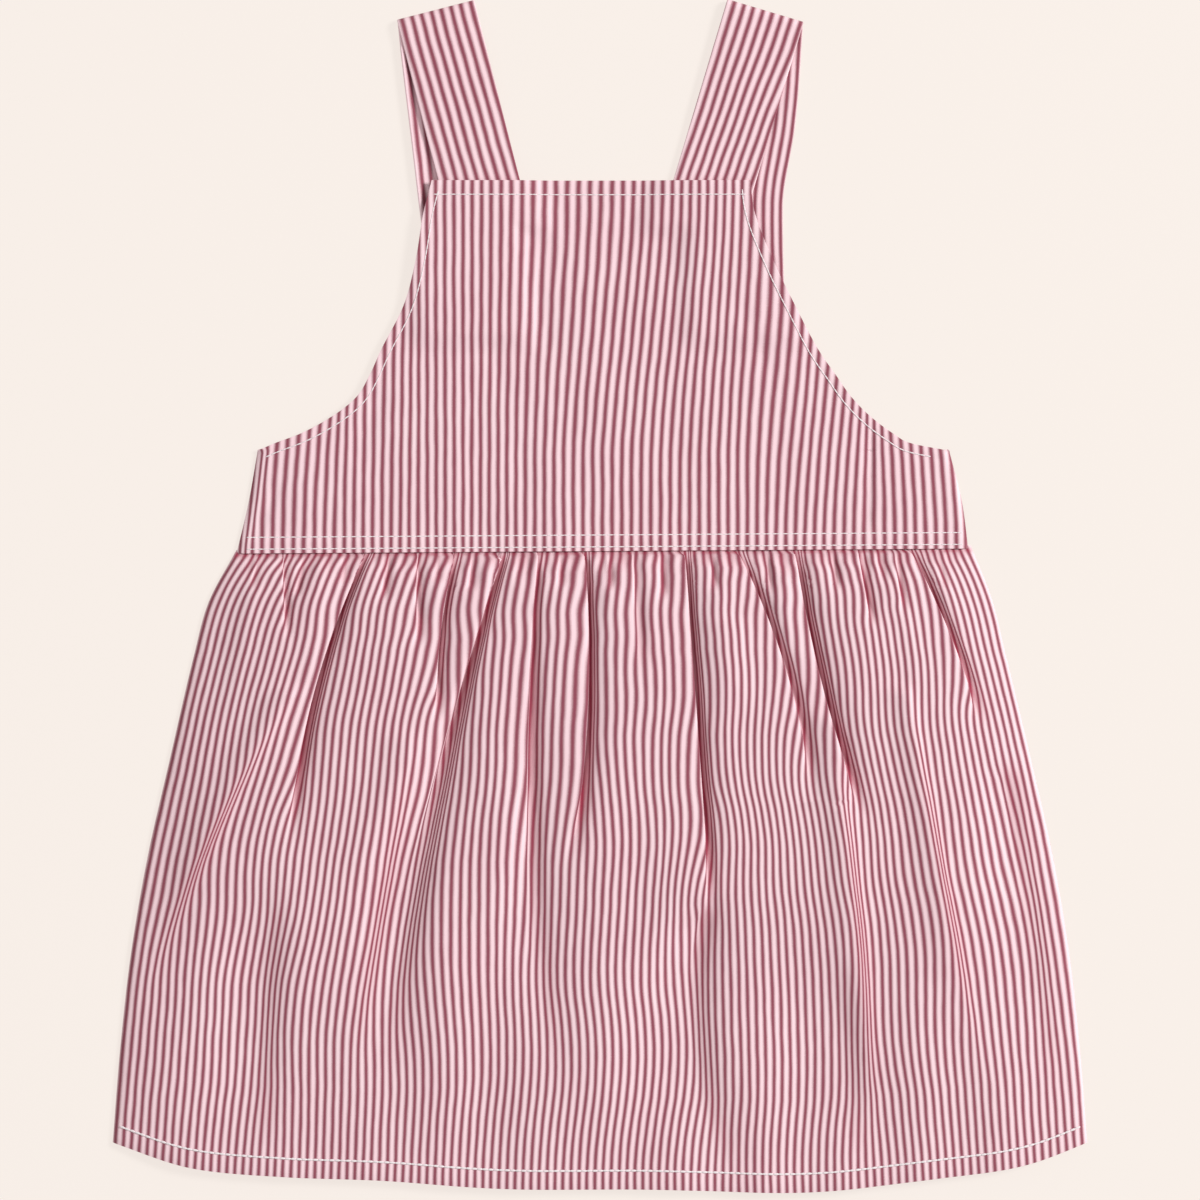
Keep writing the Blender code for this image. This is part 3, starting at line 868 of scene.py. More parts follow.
@dataclass
class SkirtFront(Skirt):
    """The gathered front of the skirt, with the folds that the laid cloth shows."""

    first_stripe: float = -0.0015
    lie: float = 0.0028
    seam_lie: float = 0.0016
    side_roll: float = 0.0042
    edge_lie: float = 0.0011
    side_round: float = 0.045
    hem_turning: float = 0.00030
    wave_height: float = 0.00045
    ripple_height: float = 0.00005
    rise: tuple[Spot, ...] = table(
        Spot, (0.0000, 0.0000), (0.0014, 0.0004), (0.0040, 0.0032), (0.0120, 0.0060),
        (0.0300, 0.0074), (0.0650, 0.0078), (0.1150, 0.0077), (0.1700, 0.0072), (0.2250, 0.0058),
        (0.2620, 0.0040), (0.2900, 0.0034))
    # Troughs and ridges, read from the photo: x at the top, the middle and the low
    # end, y at both ends, share, half width at both ends, and stripes taken in.
    troughs: tuple[Trough, ...] = table(
        Trough, (-0.1390, -0.1384, -0.1370, 0.0185, -0.0190, 0.50, 0.0030, 0.0040, 0.8),
        (-0.1030, -0.1267, -0.1355, 0.0190, -0.1118, 0.92, 0.0042, 0.0060, 3.6),
        (-0.0801, -0.0803, -0.0800, 0.0190, -0.0240, 0.50, 0.0030, 0.0040, 0.6),
        (-0.0638, -0.0706, -0.0717, 0.0190, -0.0590, 0.78, 0.0036, 0.0040, 2.0),
        (-0.0431, -0.0772, -0.1020, 0.0180, -0.2220, 0.95, 0.0042, 0.0140, 5.0),
        (-0.0273, -0.0308, -0.0220, 0.0195, -0.2300, 0.66, 0.0034, 0.0120, 1.2),
        (-0.0075, -0.0056, -0.0132, 0.0195, -0.1206, 0.92, 0.0038, 0.0060, 3.2),
        (0.0150, 0.0165, 0.0176, 0.0195, -0.0350, 0.30, 0.0050, 0.0060, 0.5),
        (0.0365, 0.0431, 0.0493, 0.0195, -0.1500, 0.95, 0.0040, 0.0060, 4.0),
        (0.0600, 0.0825, 0.0933, 0.0200, -0.0900, 0.70, 0.0036, 0.0060, 2.4),
        (0.0850, 0.0979, 0.1179, 0.0200, -0.1030, 0.94, 0.0042, 0.0060, 3.6),
        (0.1135, 0.1165, 0.1200, 0.0205, -0.0150, 0.60, 0.0034, 0.0040, 0.5),
        (0.1290, 0.1312, 0.1335, 0.0205, -0.0080, 0.50, 0.0030, 0.0036, 0.4),
        (0.1355, 0.1545, 0.1680, 0.0205, -0.0600, 0.90, 0.0040, 0.0060, 2.6),
        (-0.1450, -0.1510, -0.1540, -0.1180, -0.2500, 0.75, 0.0110, 0.0150, 1.6),
        (0.0480, 0.0400, 0.0560, -0.1300, -0.2600, 0.85, 0.0080, 0.0130, 1.4),
        (0.1000, 0.1050, 0.1080, -0.1500, -0.2550, 0.65, 0.0110, 0.0140, 1.2),
        (0.1760, 0.1880, 0.1940, -0.0700, -0.2300, 0.65, 0.0080, 0.0110, 1.4))
    ridges: tuple[Fold, ...] = table(
        Fold, (-0.1340, -0.1745, -0.2030, -0.0400, -0.1800, 0.34, 0.0050, 0.0070, 2.4),
        (-0.0830, -0.0990, -0.1130, -0.0600, -0.2200, 0.28, 0.0060, 0.0080, 1.8),
        (-0.0440, -0.0440, -0.0480, -0.0450, -0.1600, 0.12, 0.0110, 0.0130),
        (0.0200, 0.0220, 0.0240, -0.0500, -0.1500, 0.10, 0.0150, 0.0180),
        (0.0600, 0.0605, 0.0620, -0.0100, -0.0560, 0.18, 0.0060, 0.0070),
        (0.1000, 0.1125, 0.1180, -0.0520, -0.2550, 0.42, 0.0042, 0.0065, 2.4),
        (0.1340, 0.1500, 0.1680, -0.0400, -0.2200, 0.36, 0.0040, 0.0060, 2.2))
    # Gathers at the seam: x, length and share.
    gathers: tuple[Gather, ...] = table(
        Gather, (-0.1496, 0.016, 0.45), (-0.1298, 0.020, 0.50), (-0.1122, 0.014, 0.45),
        (-0.0924, 0.022, 0.55), (-0.0717, 0.014, 0.40), (-0.0560, 0.018, 0.50),
        (-0.0176, 0.016, 0.45), (0.0044, 0.018, 0.50), (0.0264, 0.022, 0.50),
        (0.0490, 0.018, 0.50), (0.0726, 0.020, 0.45), (0.1012, 0.018, 0.50),
        (0.1212, 0.014, 0.40), (0.1474, 0.018, 0.45))
    # Where seven of the photo's stripes run, at six shares of the way to the hem.
    course_rows: tuple[float, ...] = (0.160, 0.238, 0.394, 0.550, 0.706, 0.862)
    courses: tuple[tuple[float, ...], ...] = (
        (-0.1302, -0.1364, -0.1483, -0.1549, -0.1610, -0.1632),
        (-0.0937, -0.0972, -0.1025, -0.1091, -0.1157, -0.1179),
        (-0.0409, -0.0427, -0.0453, -0.0471, -0.0471, -0.0475),
        (-0.0132, -0.0145, -0.0167, -0.0195, -0.0198, -0.0189),
        (0.0246, 0.0256, 0.0251, 0.0242, 0.0233, 0.0233),
        (0.0506, 0.0519, 0.0546, 0.0563, 0.0576, 0.0585),
        (0.1166, 0.1184, 0.1250, 0.1307, 0.1346, 0.1386),
    )
    fine_gathers: int = 52
    fine_left: float = -0.1560
    fine_run: float = 0.316
    fine_steps: int = 2600
    column_clearance: float = 0.0022

    def __post_init__(self) -> None:
        """Set out every fold, and how far the cloth is eased at the measured courses."""
        random = np.random.default_rng(7)
        self.tucks = [*self.troughs, *(gather.tuck(float(self.plan.waist(gather.x)) - 0.0005)
                                       for gather in self.gathers)]
        self.folds = [*self.tucks, *self.ridges]
        pitch = self.fine_run / self.fine_gathers
        self.fine = [
            Gather(x=self.fine_left + pitch * (index + 0.5 + random.uniform(-0.35, 0.35)),
                   length=random.uniform(0.006, 0.017), share=random.uniform(0.3, 0.75),
                   width=random.uniform(0.0011, 0.0020), drawn_in=0.0018)
            for index in range(self.fine_gathers)]
        rows = [self.spread(*self.row(down)[:2]) for down in self.course_rows]
        self.eased = [
            [float(np.interp(course[-1], *rows[-1]) - np.interp(x, *row))
             for x, row in zip(course, rows)] for course in self.courses]

    def row(self, down: float) -> tuple[Array, Array, Array]:
        """Places across, places along and distances from the side in one row."""
        return self.outline(np.linspace(0.0, 1.0, self.fine_steps),
                            np.full(self.fine_steps, down))

    def spread(self, x: Array, y: Array) -> tuple[Array, Array]:
        """Places in a row, and how much cloth lies to their left if it spreads evenly."""
        folded = self.drawn_in(x, y)
        hidden = running(np.diff(x) * (folded[1:] + folded[:-1]) / 2)
        open_share = (self.cloth_width - hidden[-1]) / (x[-1] - x[0])
        return x, hidden + open_share * (x - x[0])

    def easing(self, x: Array, down: float) -> Array:
        """What turns evenly spread stripes into the courses that the photo shows."""
        places = [read_curve(self.course_rows, course, down) for course in self.courses]
        amounts = [read_curve(self.course_rows, eased, down) for eased in self.eased]
        return np.interp(x, [x[0], *places, x[-1]], [0.0, *amounts, 0.0])

    def height(self, x: Array, y: Array, from_side: Array) -> Array:
        """Height of the outer face."""
        drop = self.plan.waist(x) - y
        inward = np.clip(from_side / self.side_round, 0.0, 1.0)
        rise = read_spots(self.rise, drop) * (1.0 - (1.0 - inward) ** 1.7)
        for ridge in self.ridges:
            rise = rise * (1.0 + ridge.share * ridge.swell(x, y))
        for tuck in self.tucks:
            rise = rise * (1.0 - tuck.share * tuck.tuck(x, y))
        for gather in self.fine:
            rise = rise * (1.0 - gather.share * gather.felt(x, drop))
        base = self.seam_lie + (self.lie - self.seam_lie) * smooth((drop + 0.0005) / 0.004)
        above_hem = y - self.plan.hem(x)
        turned = self.hem_turning * smooth((self.plan.hem_row + 0.0008 - above_hem) / 0.001)
        waves = (self.wave_height * crumple(x, y, 3, 0.036, 2.6)
                 + self.ripple_height * crumple(x, y, 5, 0.008, 3.0)
                 ) * smooth((drop - 0.004) / 0.03)
        flat = base + self.pressed(x, y) + rise + turned + waves
        return rolled(flat, np.clip(1.0 - from_side / self.side_roll, 0.0, 1.0), self.edge_lie)

    def hem_height(self, x: Array, y: Array) -> Array:
        """Height of the outer face near the hem."""
        left, right = self.plan.sides(self.plan.skirt_sides, self.plan.side_hem_y)
        return self.height(x, y, np.minimum(x - left, right - x))

    def anchors(self, y: float, left: float, right: float) -> Array:
        """Where the mesh's fixed columns are in a row: its sides and each tuck's bottom.

        A tuck's column goes on below the tuck, fanning out with the skirt and kept
        clear of the columns of longer tucks beside it.
        """
        tucks = sorted((tuck for tuck in self.tucks if tuck.top_width < NARROW),
                       key=lambda tuck: tuck.top_x)
        places = np.empty(len(tucks) + 2)
        places[0], places[-1] = left, right
        ended = np.ones(len(places), dtype=bool)
        for index, tuck in enumerate(tucks, start=1):
            low_left, low_right = self.plan.sides(self.plan.skirt_sides, max(y, tuck.low_y))
            spread = (right - left) / float(low_right - low_left)
            places[index] = float(tuck.centre(y)) * max(spread, 1.0)
            ended[index] = y < tuck.low_y
        for index in range(len(places) - 2, 0, -1):
            if ended[index]:
                places[index] = min(places[index], places[index + 1] - self.column_clearance)
        for index in range(1, len(places) - 1):
            if ended[index]:
                places[index] = max(places[index], places[index - 1] + self.column_clearance)
        return places

    def drawn_in(self, x: Array, y: Array) -> Array:
        """Cloth folded away at each place, for each length across the skirt."""
        drop = self.plan.waist(x) - y
        folded = sum(fold.hidden(x, y) for fold in self.folds)
        return sum((gather.hidden(x, drop) for gather in self.fine), folded)

    def lay(self, across: Array, along: Array) -> tuple[Array, Array]:
        """Lay the cloth row by row, drawing its stripes into the folds."""
        shape = (self.rows + 1, self.columns + 1)
        share = across.reshape(shape)[0]
        downs = (1.0 - along.reshape(shape)[:, 0]) ** self.row_crowding
        rows = [self.profile(down) for down in downs]
        spans = np.array([np.diff(row.anchored) / row.anchored[-1] for row in rows])
        columns = running(spans.mean(axis=0))
        laid = np.empty((5, *shape))
        for index, row in enumerate(rows):
            wanted = np.interp(share, columns, row.anchored)
            laid[:, index] = [np.interp(wanted, row.placed, values) for values in row.laid]
        x, y, z, cloth, self.deep = laid.reshape(5, -1)
        uvs = np.column_stack((cloth + self.first_stripe,
                               np.repeat((1.0 - downs) * self.cloth_length, shape[1])))
        return np.column_stack((x, y, z)), uvs

    def profile(self, down: float) -> Profile:
        """The skirt's section at one row.

        Args:
            down: the row's share of the way from the waist to the hem.

        Returns:
            The section, with the cloth and the mesh counted along it.
        """
        x, y, from_side = self.row(down)
        z = self.height(x, y, from_side)
        pushed = x + sum(tuck.overhang(x, y) for tuck in self.tucks)
        crowding = 1.0 + 1.3 * np.clip(sum(tuck.crowd(x, y) for tuck in self.tucks), 0.0, 1.0)
        placed = running(np.hypot(np.diff(pushed), np.diff(z)) * crowding[1:])
        anchors = self.anchors(float(y[len(y) // 2]), float(x[0]), float(x[-1]))
        cloth = self.spread(x, y)[1] + self.easing(x, down)
        return Profile(np.array([pushed, y, z, cloth, self.depth(x, y)]), placed,
                       np.interp(anchors, x, placed))

    def depth(self, x: Array, y: Array) -> Array:
        """How much painted shade each place takes, from 0 to 1: in folds and gathers, and as a
        jagged dark line just below the waist seam.
        """
        drop = self.plan.waist(x) - y
        # painted shadow: a jagged dark line just below the waist seam, under the bodice's edge
        jagged = 0.5 + 0.5 * crumple(x, 0.0 * y, 17, 0.0055)
        deep = np.clip(jagged, 0.15, 1.0) * bell(drop - 0.0008, 0.0012)
        for fold in self.folds:
            deep = np.maximum(deep, fold.deep(x, y))
        # painted shade in the fine gathers
        for gather in self.fine:
            deep = np.maximum(deep, 0.9 * gather.share * gather.felt(x, drop))
        return deep

    def declare(self, piece: bpy.types.Object) -> None:
        """Does nothing; this panel is gathered into the waist seam, on the skirt back."""


@dataclass
class SkirtBack(Skirt):
    """The back of the skirt, which the garment lies on."""

    faces_down: bool = True
    first_stripe: float = 0.0011
    clearance: float = 0.0003
    inset: float = 0.0017

    def lay(self, across: Array, along: Array) -> tuple[Array, Array]:
        """Lay the underside on the surface, with its pressed gathers."""
        down = (1.0 - along) ** self.row_crowding
        x, y, _ = self.outline(across, down, self.inset)
        uvs = np.column_stack((across * self.cloth_width + self.first_stripe,
                               (1.0 - down) * self.cloth_length))
        return np.column_stack((x, y, self.height(x, y))), uvs

    def height(self, x: Array, y: Array) -> Array:
        """Height of the outer face, which lies on the surface."""
        return self.pressed(x, y) + self.clearance

    def declare(self, piece: bpy.types.Object) -> None:
        """Does nothing; this panel is gathered into the waist seam, on the surface."""


@dataclass
class Bodice(Cloth):
    """What both bodice panels share."""

    side_rows: int = 40

    def outline(self, armholes: Sequence[Edge], top_y: float, across: Array,
                along: Array, inset: float = 0.0) -> tuple[Array, Array]:
        """Plan of a bodice panel: its sides to the underarm, then its armholes.

        Args:
            armholes: the edges of its armholes.
            top_y: its top edge.
            across: shares of the way across.
            along: shares of the way up.
            inset: how far its side edges stand in from the garment's outline.

        Returns:
            Places across and places along.
        """
        plan = self.plan
        side_share = self.side_rows / self.rows
        up_side = np.clip(along / side_share, 0.0, 1.0)
        up_armhole = np.clip((along - side_share) / (1.0 - side_share), 0.0, 1.0)
        side_y = plan.waist_y + (plan.underarm_y - plan.waist_y) * up_side
        armhole_y = (plan.underarm_y
                     + (top_y - plan.underarm_y) * up_armhole ** plan.armhole_crowding)
        side_x, armhole_x = (
            left + inset + (right - left - 2 * inset) * across
            for left, right in (plan.sides(plan.bodice_sides, side_y),
                                plan.sides(armholes, armhole_y)))
        tilt = plan.waist_tilt * side_x * (1.0 - up_side)
        in_armhole = up_armhole > 0.0
        return (np.where(in_armhole, armhole_x, side_x),
                np.where(in_armhole, armhole_y, side_y + tilt))


@dataclass(frozen=True)
class Crease:
    """A soft crease or dent left in the cloth by folding."""

    top_x: float
    top_y: float
    low_x: float
    low_y: float
    width: float
    depth: float

    def felt(self, x: Array, y: Array) -> Array:
        """Its height at a point: negative in a dent."""
        run = np.array([self.low_x - self.top_x, self.low_y - self.top_y])
        length = float(np.hypot(*run))
        t = ((x - self.top_x) * run[0] + (y - self.top_y) * run[1]) / length ** 2
        aside = ((x - self.top_x) * run[1] - (y - self.top_y) * run[0]) / length
        ends = smooth(t / 0.25 + 0.4) * smooth((1.0 - t) / 0.25 + 0.4)
        return -self.depth * bell(aside, self.width) * ends


class Stripes(NamedTuple):
    """How a strap's stripes lie at a place along it: where the first is, and their spread."""

    at: float
    first: float
    spread: float


@dataclass(frozen=True)
class StrapLine:
    """Where one strap runs: front run from bib to shoulder, then its back run."""

    node: str
    bib_x: float
    shoulder_x: float
    shoulder_y: float
    back: tuple[Spot, ...]
    stripes: tuple[Stripes, ...]
    curl: float

    def middle(self, y: Reals) -> Array:
        """Middle line of the back run, by height."""
        return read_spots((Spot(self.shoulder_y, self.shoulder_x),) + self.back, y)


STRAP_WIDTH = 0.0350
STRAP_LINES = (
    StrapLine("strap_left", -0.0532, -0.0722, 0.2571,
              table(Spot, (0.2000, -0.0652), (0.1659, -0.0612), (0.1400, -0.0580),
                    (0.1192, -0.0556)),
              table(Stripes, (0.0150, 0.0035, 1.055), (0.0430, 0.0030, 1.055),
                    (0.0800, 0.0022, 1.055)), 0.0026),
    StrapLine("strap_right", 0.0504, 0.0726, 0.2567,
              table(Spot, (0.2086, 0.0684), (0.1720, 0.0630), (0.1470, 0.0632),
                    (0.1192, 0.0640)),
              table(Stripes, (0.0150, 0.0020, 0.925), (0.0243, 0.0023, 0.929),
                    (0.0427, 0.0031, 0.925), (0.0610, 0.0032, 0.966), (0.0795, 0.0034, 1.019),
                    (0.0930, 0.0034, 1.030), (0.1180, 0.0074, 0.900)), 0.0),
)


@dataclass
class BodiceFront(Bodice):
    """The bodice front with its bib, topstitched along every edge."""

    first_stripe: float = 0.1571
    lie: float = 0.0028
    strap_lift: float = 0.0021
    lift_fade: float = 0.013
    tucked_strap: float = 0.027
    back_strap_y: float = 0.1052
    sag: float = 0.0009
    waist_band: float = 0.0005
    stitch_pull: float = 0.00022
    dent_width: float = 0.0008
    wave_height: float = 0.00016
    roll_width: float = 0.0050
    side_turning: float = 0.0036
    edge_lie: float = 0.0010
    drift: tuple[Spot, ...] = table(
        Spot, (-0.1571, 0.0062), (-0.1417, 0.0062), (-0.1228, 0.0058), (-0.1060, 0.0012),
        (-0.0898, 0.0016), (-0.0735, -0.0002), (-0.0572, 0.0002), (-0.0414, 0.0018),
        (-0.0260, 0.0046), (-0.0092, 0.0074), (0.0075, 0.0090), (0.0242, 0.0090),
        (0.0414, 0.0074), (0.0581, 0.0058), (0.0748, 0.0076), (0.0915, 0.0080), (0.1091, 0.0066),
        (0.1272, -0.0040), (0.1465, -0.0078), (0.1588, -0.0092))
    creases: tuple[Crease, ...] = table(
        Crease, (0.1190, 0.0720, 0.1176, 0.0290, 0.0016, 0.0012),
        (-0.0360, 0.0680, -0.0335, 0.0420, 0.0060, 0.0004),
        (-0.0490, 0.1140, -0.0420, 0.0860, 0.0050, 0.0004),
        (-0.0270, 0.1350, -0.0240, 0.1080, 0.0050, 0.0004),
        (0.0610, 0.1300, 0.0760, 0.0950, 0.0040, 0.0004),
        (-0.0950, 0.0900, -0.1080, 0.0600, 0.0050, 0.0005),
        (-0.1420, 0.0480, -0.1520, 0.0240, 0.0018, 0.0005))
    drift_up: tuple[Spot, ...] = table(
        Spot, (0.0198, 0.00), (0.0596, 0.00), (0.0772, 0.11), (0.0948, 0.28), (0.1124, 0.50),
        (0.1300, 0.68), (0.1476, 0.87), (0.1652, 1.00), (0.1826, 1.05))
    seam_ease: tuple[Spot, ...] = table(
        Spot, (-0.1505, 0.0000), (-0.1100, -0.0026), (-0.0695, -0.0008), (-0.0304, 0.0021),
        (0.0119, 0.0017), (0.0546, 0.0013), (0.0968, 0.0013), (0.1412, -0.0013),
        (0.1549, -0.0021))

    def strap_push(self, x: Array, y: Array) -> Array:
        """How far the straps behind the bib lift it."""
        lift = np.zeros(np.broadcast(x, y).shape)
        top_y = self.plan.bib_top_y
        for line in STRAP_LINES:
            slope = (line.shoulder_x - line.bib_x) / (line.shoulder_y - top_y)
            front_x = line.bib_x + slope * (y - top_y)
            tucked = smooth((y - (top_y - self.tucked_strap)) / 0.010)
            behind = smooth((y - self.back_strap_y) / 0.012)
            for centre, strength in ((front_x, tucked), (line.middle(y), behind)):
                beyond = np.abs(x - centre) - STRAP_WIDTH / 2 - 0.002
                lift = np.maximum(lift, strength * smooth(1.0 - beyond / self.lift_fade))
        return self.strap_lift * lift

    def height(self, x: Array, y: Array) -> Array:
        """Height of the outer face, without its rolled sides."""
        plan = self.plan
        above_seam = y - plan.waist(x)
        between = smooth((0.046 - np.abs(x)) / 0.022)
        sag = self.sag * smooth((y - plan.back_top_y - 0.004) / 0.018) * between
        band = self.waist_band * smooth((plan.waist_rows[-1] + 0.0006 - above_seam) / 0.0012)
        ease = 0.0004 * smooth((above_seam - 0.008) / 0.020)
        z = self.lie + self.strap_push(x, y) - sag + band + ease
        for row in reversed(plan.waist_rows):
            z = z - self.stitch_pull * bell(above_seam - row, self.dent_width)
        z = z + self.margin(plan.bib_top_y - y, plan.bib_row)
        from_armhole = np.minimum(*(distance_to(x, y, plan.armhole(plan.front_armholes, to_right))
                                    for to_right in (False, True)))
        z = z + self.margin(from_armhole, plan.armhole_row)
        for crease in self.creases:
            z = z + crease.felt(x, y)
        return z + self.wave_height * crumple(x, y, 11, 0.028, 1.8)

    def margin(self, inside: Array, row: float) -> Array:
        """A turned margin: two layers, drawn down along its row of stitches."""
        turned = 0.00025 * smooth((row + 0.0006 - inside) / 0.001)
        return turned - 0.00020 * bell(inside - row, self.dent_width)

    def lay(self, across: Array, along: Array) -> tuple[Array, Array]:
        """Lay the panel on the back and the straps, its sides rolled down."""
        plan = self.plan
        x, y = self.outline(plan.front_armholes, plan.bib_top_y, across, along)
        z = self.height(x, y)
        left, right = plan.sides(plan.bodice_sides, np.minimum(y, plan.underarm_y))
        at_side = smooth((plan.underarm_y + 0.003 - y) / 0.004)
        for inside, reach in ((x - left, self.roll_width), (right - x, 0.6 * self.roll_width)):
            roll = np.clip(1.0 - inside / reach, 0.0, 1.0) * at_side
            z = rolled(z, roll, self.edge_lie)
        up_side = smooth((y - plan.waist_y) / (0.75 * (plan.bib_top_y - plan.waist_y)))
        up_middle = read_spots(self.drift_up, y)
        up = up_middle + (up_side - up_middle) * smooth((np.abs(x) - 0.060) / 0.030)
        flow = x
        for _ in range(3):
            flow = x - read_spots(self.drift, flow) * up
        flow = flow + read_spots(self.seam_ease, flow)
        turned = self.side_turning * (1.0 - smooth((x - left) / 0.0065)) * at_side
        uvs = np.column_stack((flow - turned + self.first_stripe, y - plan.waist_y))
        return np.column_stack((x, y, z)), uvs

    def declare(self, piece: bpy.types.Object) -> None:
        """Does nothing; this shaped panel is laid on the back and on the straps' ends."""


@dataclass
class BodiceBack(Bodice):
    """The lower back bib, which the garment lies on."""

    faces_down: bool = True
    first_stripe: float = 0.1590
    clearance: float = 0.0003
    inset: float = 0.0020

    def lay(self, across: Array, along: Array) -> tuple[Array, Array]:
        """Lay the underside flat on the surface."""
        plan = self.plan
        x, y = self.outline(plan.back_armholes, plan.back_top_y, across, along, self.inset)
        uvs = np.column_stack((x + self.first_stripe, y - plan.waist_y))
        return np.column_stack((x, y, self.height(x, y))), uvs

    def height(self, x: Array, y: Array) -> Array:
        """Height of the outer face, which lies on the surface."""
        return self.clearance + np.abs(0.00005 * (1.0 + crumple(x, y, 23, 0.040)))

    def declare(self, piece: bpy.types.Object) -> None:
        """Does nothing; this shaped panel is laid on the surface."""


@dataclass
class Strap(Cloth):
    """A strap of two layers: behind the bib, over its fold, down to the back."""

    wall_side: float = 0.0
    line: StrapLine = STRAP_LINES[0]
    tuck: float = 0.0150
    front_z: float = 0.0026
    fold_radius: float = 0.0016
    back_end_y: float = 0.1192
    front_steps: int = 70
    fold_steps: int = 14
    back_steps: int = 110
    on_back_lift: float = 0.0015
    crown_height: float = 0.00018
    wave_height: float = 0.00014
    front_length: float = 0.090

    def stations(self) -> tuple[Array, Array, Array, Array]:
        """The strap's middle line.

        Returns:
            Middle points, widthwise directions, lengths so far, and how much of
            the back run's curl each station has, from 0 to 1.
        """
        line = self.line
        bib = Vector((line.bib_x, self.plan.bib_top_y, 0.0))
        shoulder = Vector((line.shoulder_x, line.shoulder_y, 0.0))
        up = (shoulder - bib).normalized()
        across = Vector((up.y, -up.x, 0.0))
        half = self.wall / 2
        crown = half + 2 * self.fold_radius
        tuck_end = bib - up * self.tuck
        fold_start = shoulder - up * self.fold_radius
        run = (fold_start - tuck_end).length
        clear = (self.tuck + 0.004) / run
        stations = []
        for t in np.linspace(0.0, 1.0, self.front_steps):
            climb = float(smooth((t - clear) / (1.0 - clear)))
            z = self.front_z + (crown - self.front_z) * climb
            stations.append((tuck_end + up * (run * t) + Vector((0, 0, z)), across, 0.0))
        for step in range(1, self.fold_steps):
            turn = math.pi * step / self.fold_steps
            z = half + self.fold_radius * (1.0 + math.cos(turn))
            stations.append((fold_start + up * (self.fold_radius * math.sin(turn))
                             + Vector((0, 0, z)), across, 0.0))
        for t in np.linspace(0.0, 1.0, self.back_steps):
            y = fold_start.y + (self.back_end_y - fold_start.y) * t
            slope = float(line.middle(y + 0.004) - line.middle(y - 0.004)) / 0.008
            settle = float(smooth((fold_start.y - y) / 0.040))
            on_back = float(smooth((self.plan.back_top_y + 0.016 - y) / 0.013))
            square = Vector((1.0, -slope, 0.0)).normalized()
            curled = float(smooth((fold_start.y - y) / 0.012) * smooth((y - 0.150) / 0.030))
            stations.append(
                (Vector((float(line.middle(y)), y, half + self.on_back_lift * on_back)),
                 across.lerp(square, settle).normalized(), curled))
        middles, directions, curled = (np.array(part) for part in zip(*stations))
        return middles, directions, lengths_along(middles), curled

    def lay(self, across: Array, along: Array) -> tuple[Array, Array]:
        """Lay the strap along its stations."""
        middles, directions, lengths, curled = self.stations()
        at = along * lengths[-1]
        side = (across - 0.5) * STRAP_WIDTH
        points = np.column_stack([
            np.interp(at, lengths, middles[:, axis])
            + np.interp(at, lengths, directions[:, axis]) * side for axis in range(3)])
        outer = 0.5 - (across - 0.5) * math.copysign(1.0, self.line.bib_x)
        curl = self.line.curl * np.interp(at, lengths, curled) * smooth(1.0 - outer / 0.11)
        crown = self.crown_height * (1.0 - (2 * across - 1.0) ** 2)
        waves = self.wave_height * crumple(points[:, 0], points[:, 1], 31, 0.035)
        front = 1.0 - smooth((at - self.front_length) / 0.010)
        points[:, 2] += curl + (crown + waves) * front
        places, firsts, spreads = zip(*self.line.stripes)
        first, spread = (read_curve(places, values, at) for values in (firsts, spreads))
        return points, np.column_stack(((across * STRAP_WIDTH - first) / spread, at))

    def declare(self, piece: bpy.types.Object) -> None:
        """Works out the strap's length and does nothing with it; the folded strap lies on the
        surface and behind the bib.
        """
        length = self.stations()[2][-1]


# Sewing -------------------------------------------------------------------------

def inside_of(line: Array, distance: float) -> Array:
    """A line drawn beside another, to its right as one walks along it."""
    run = np.gradient(line, axis=0)
    run /= np.linalg.norm(run, axis=1)[:, None]
    return line + np.column_stack((run[:, 1], -run[:, 0])) * distance


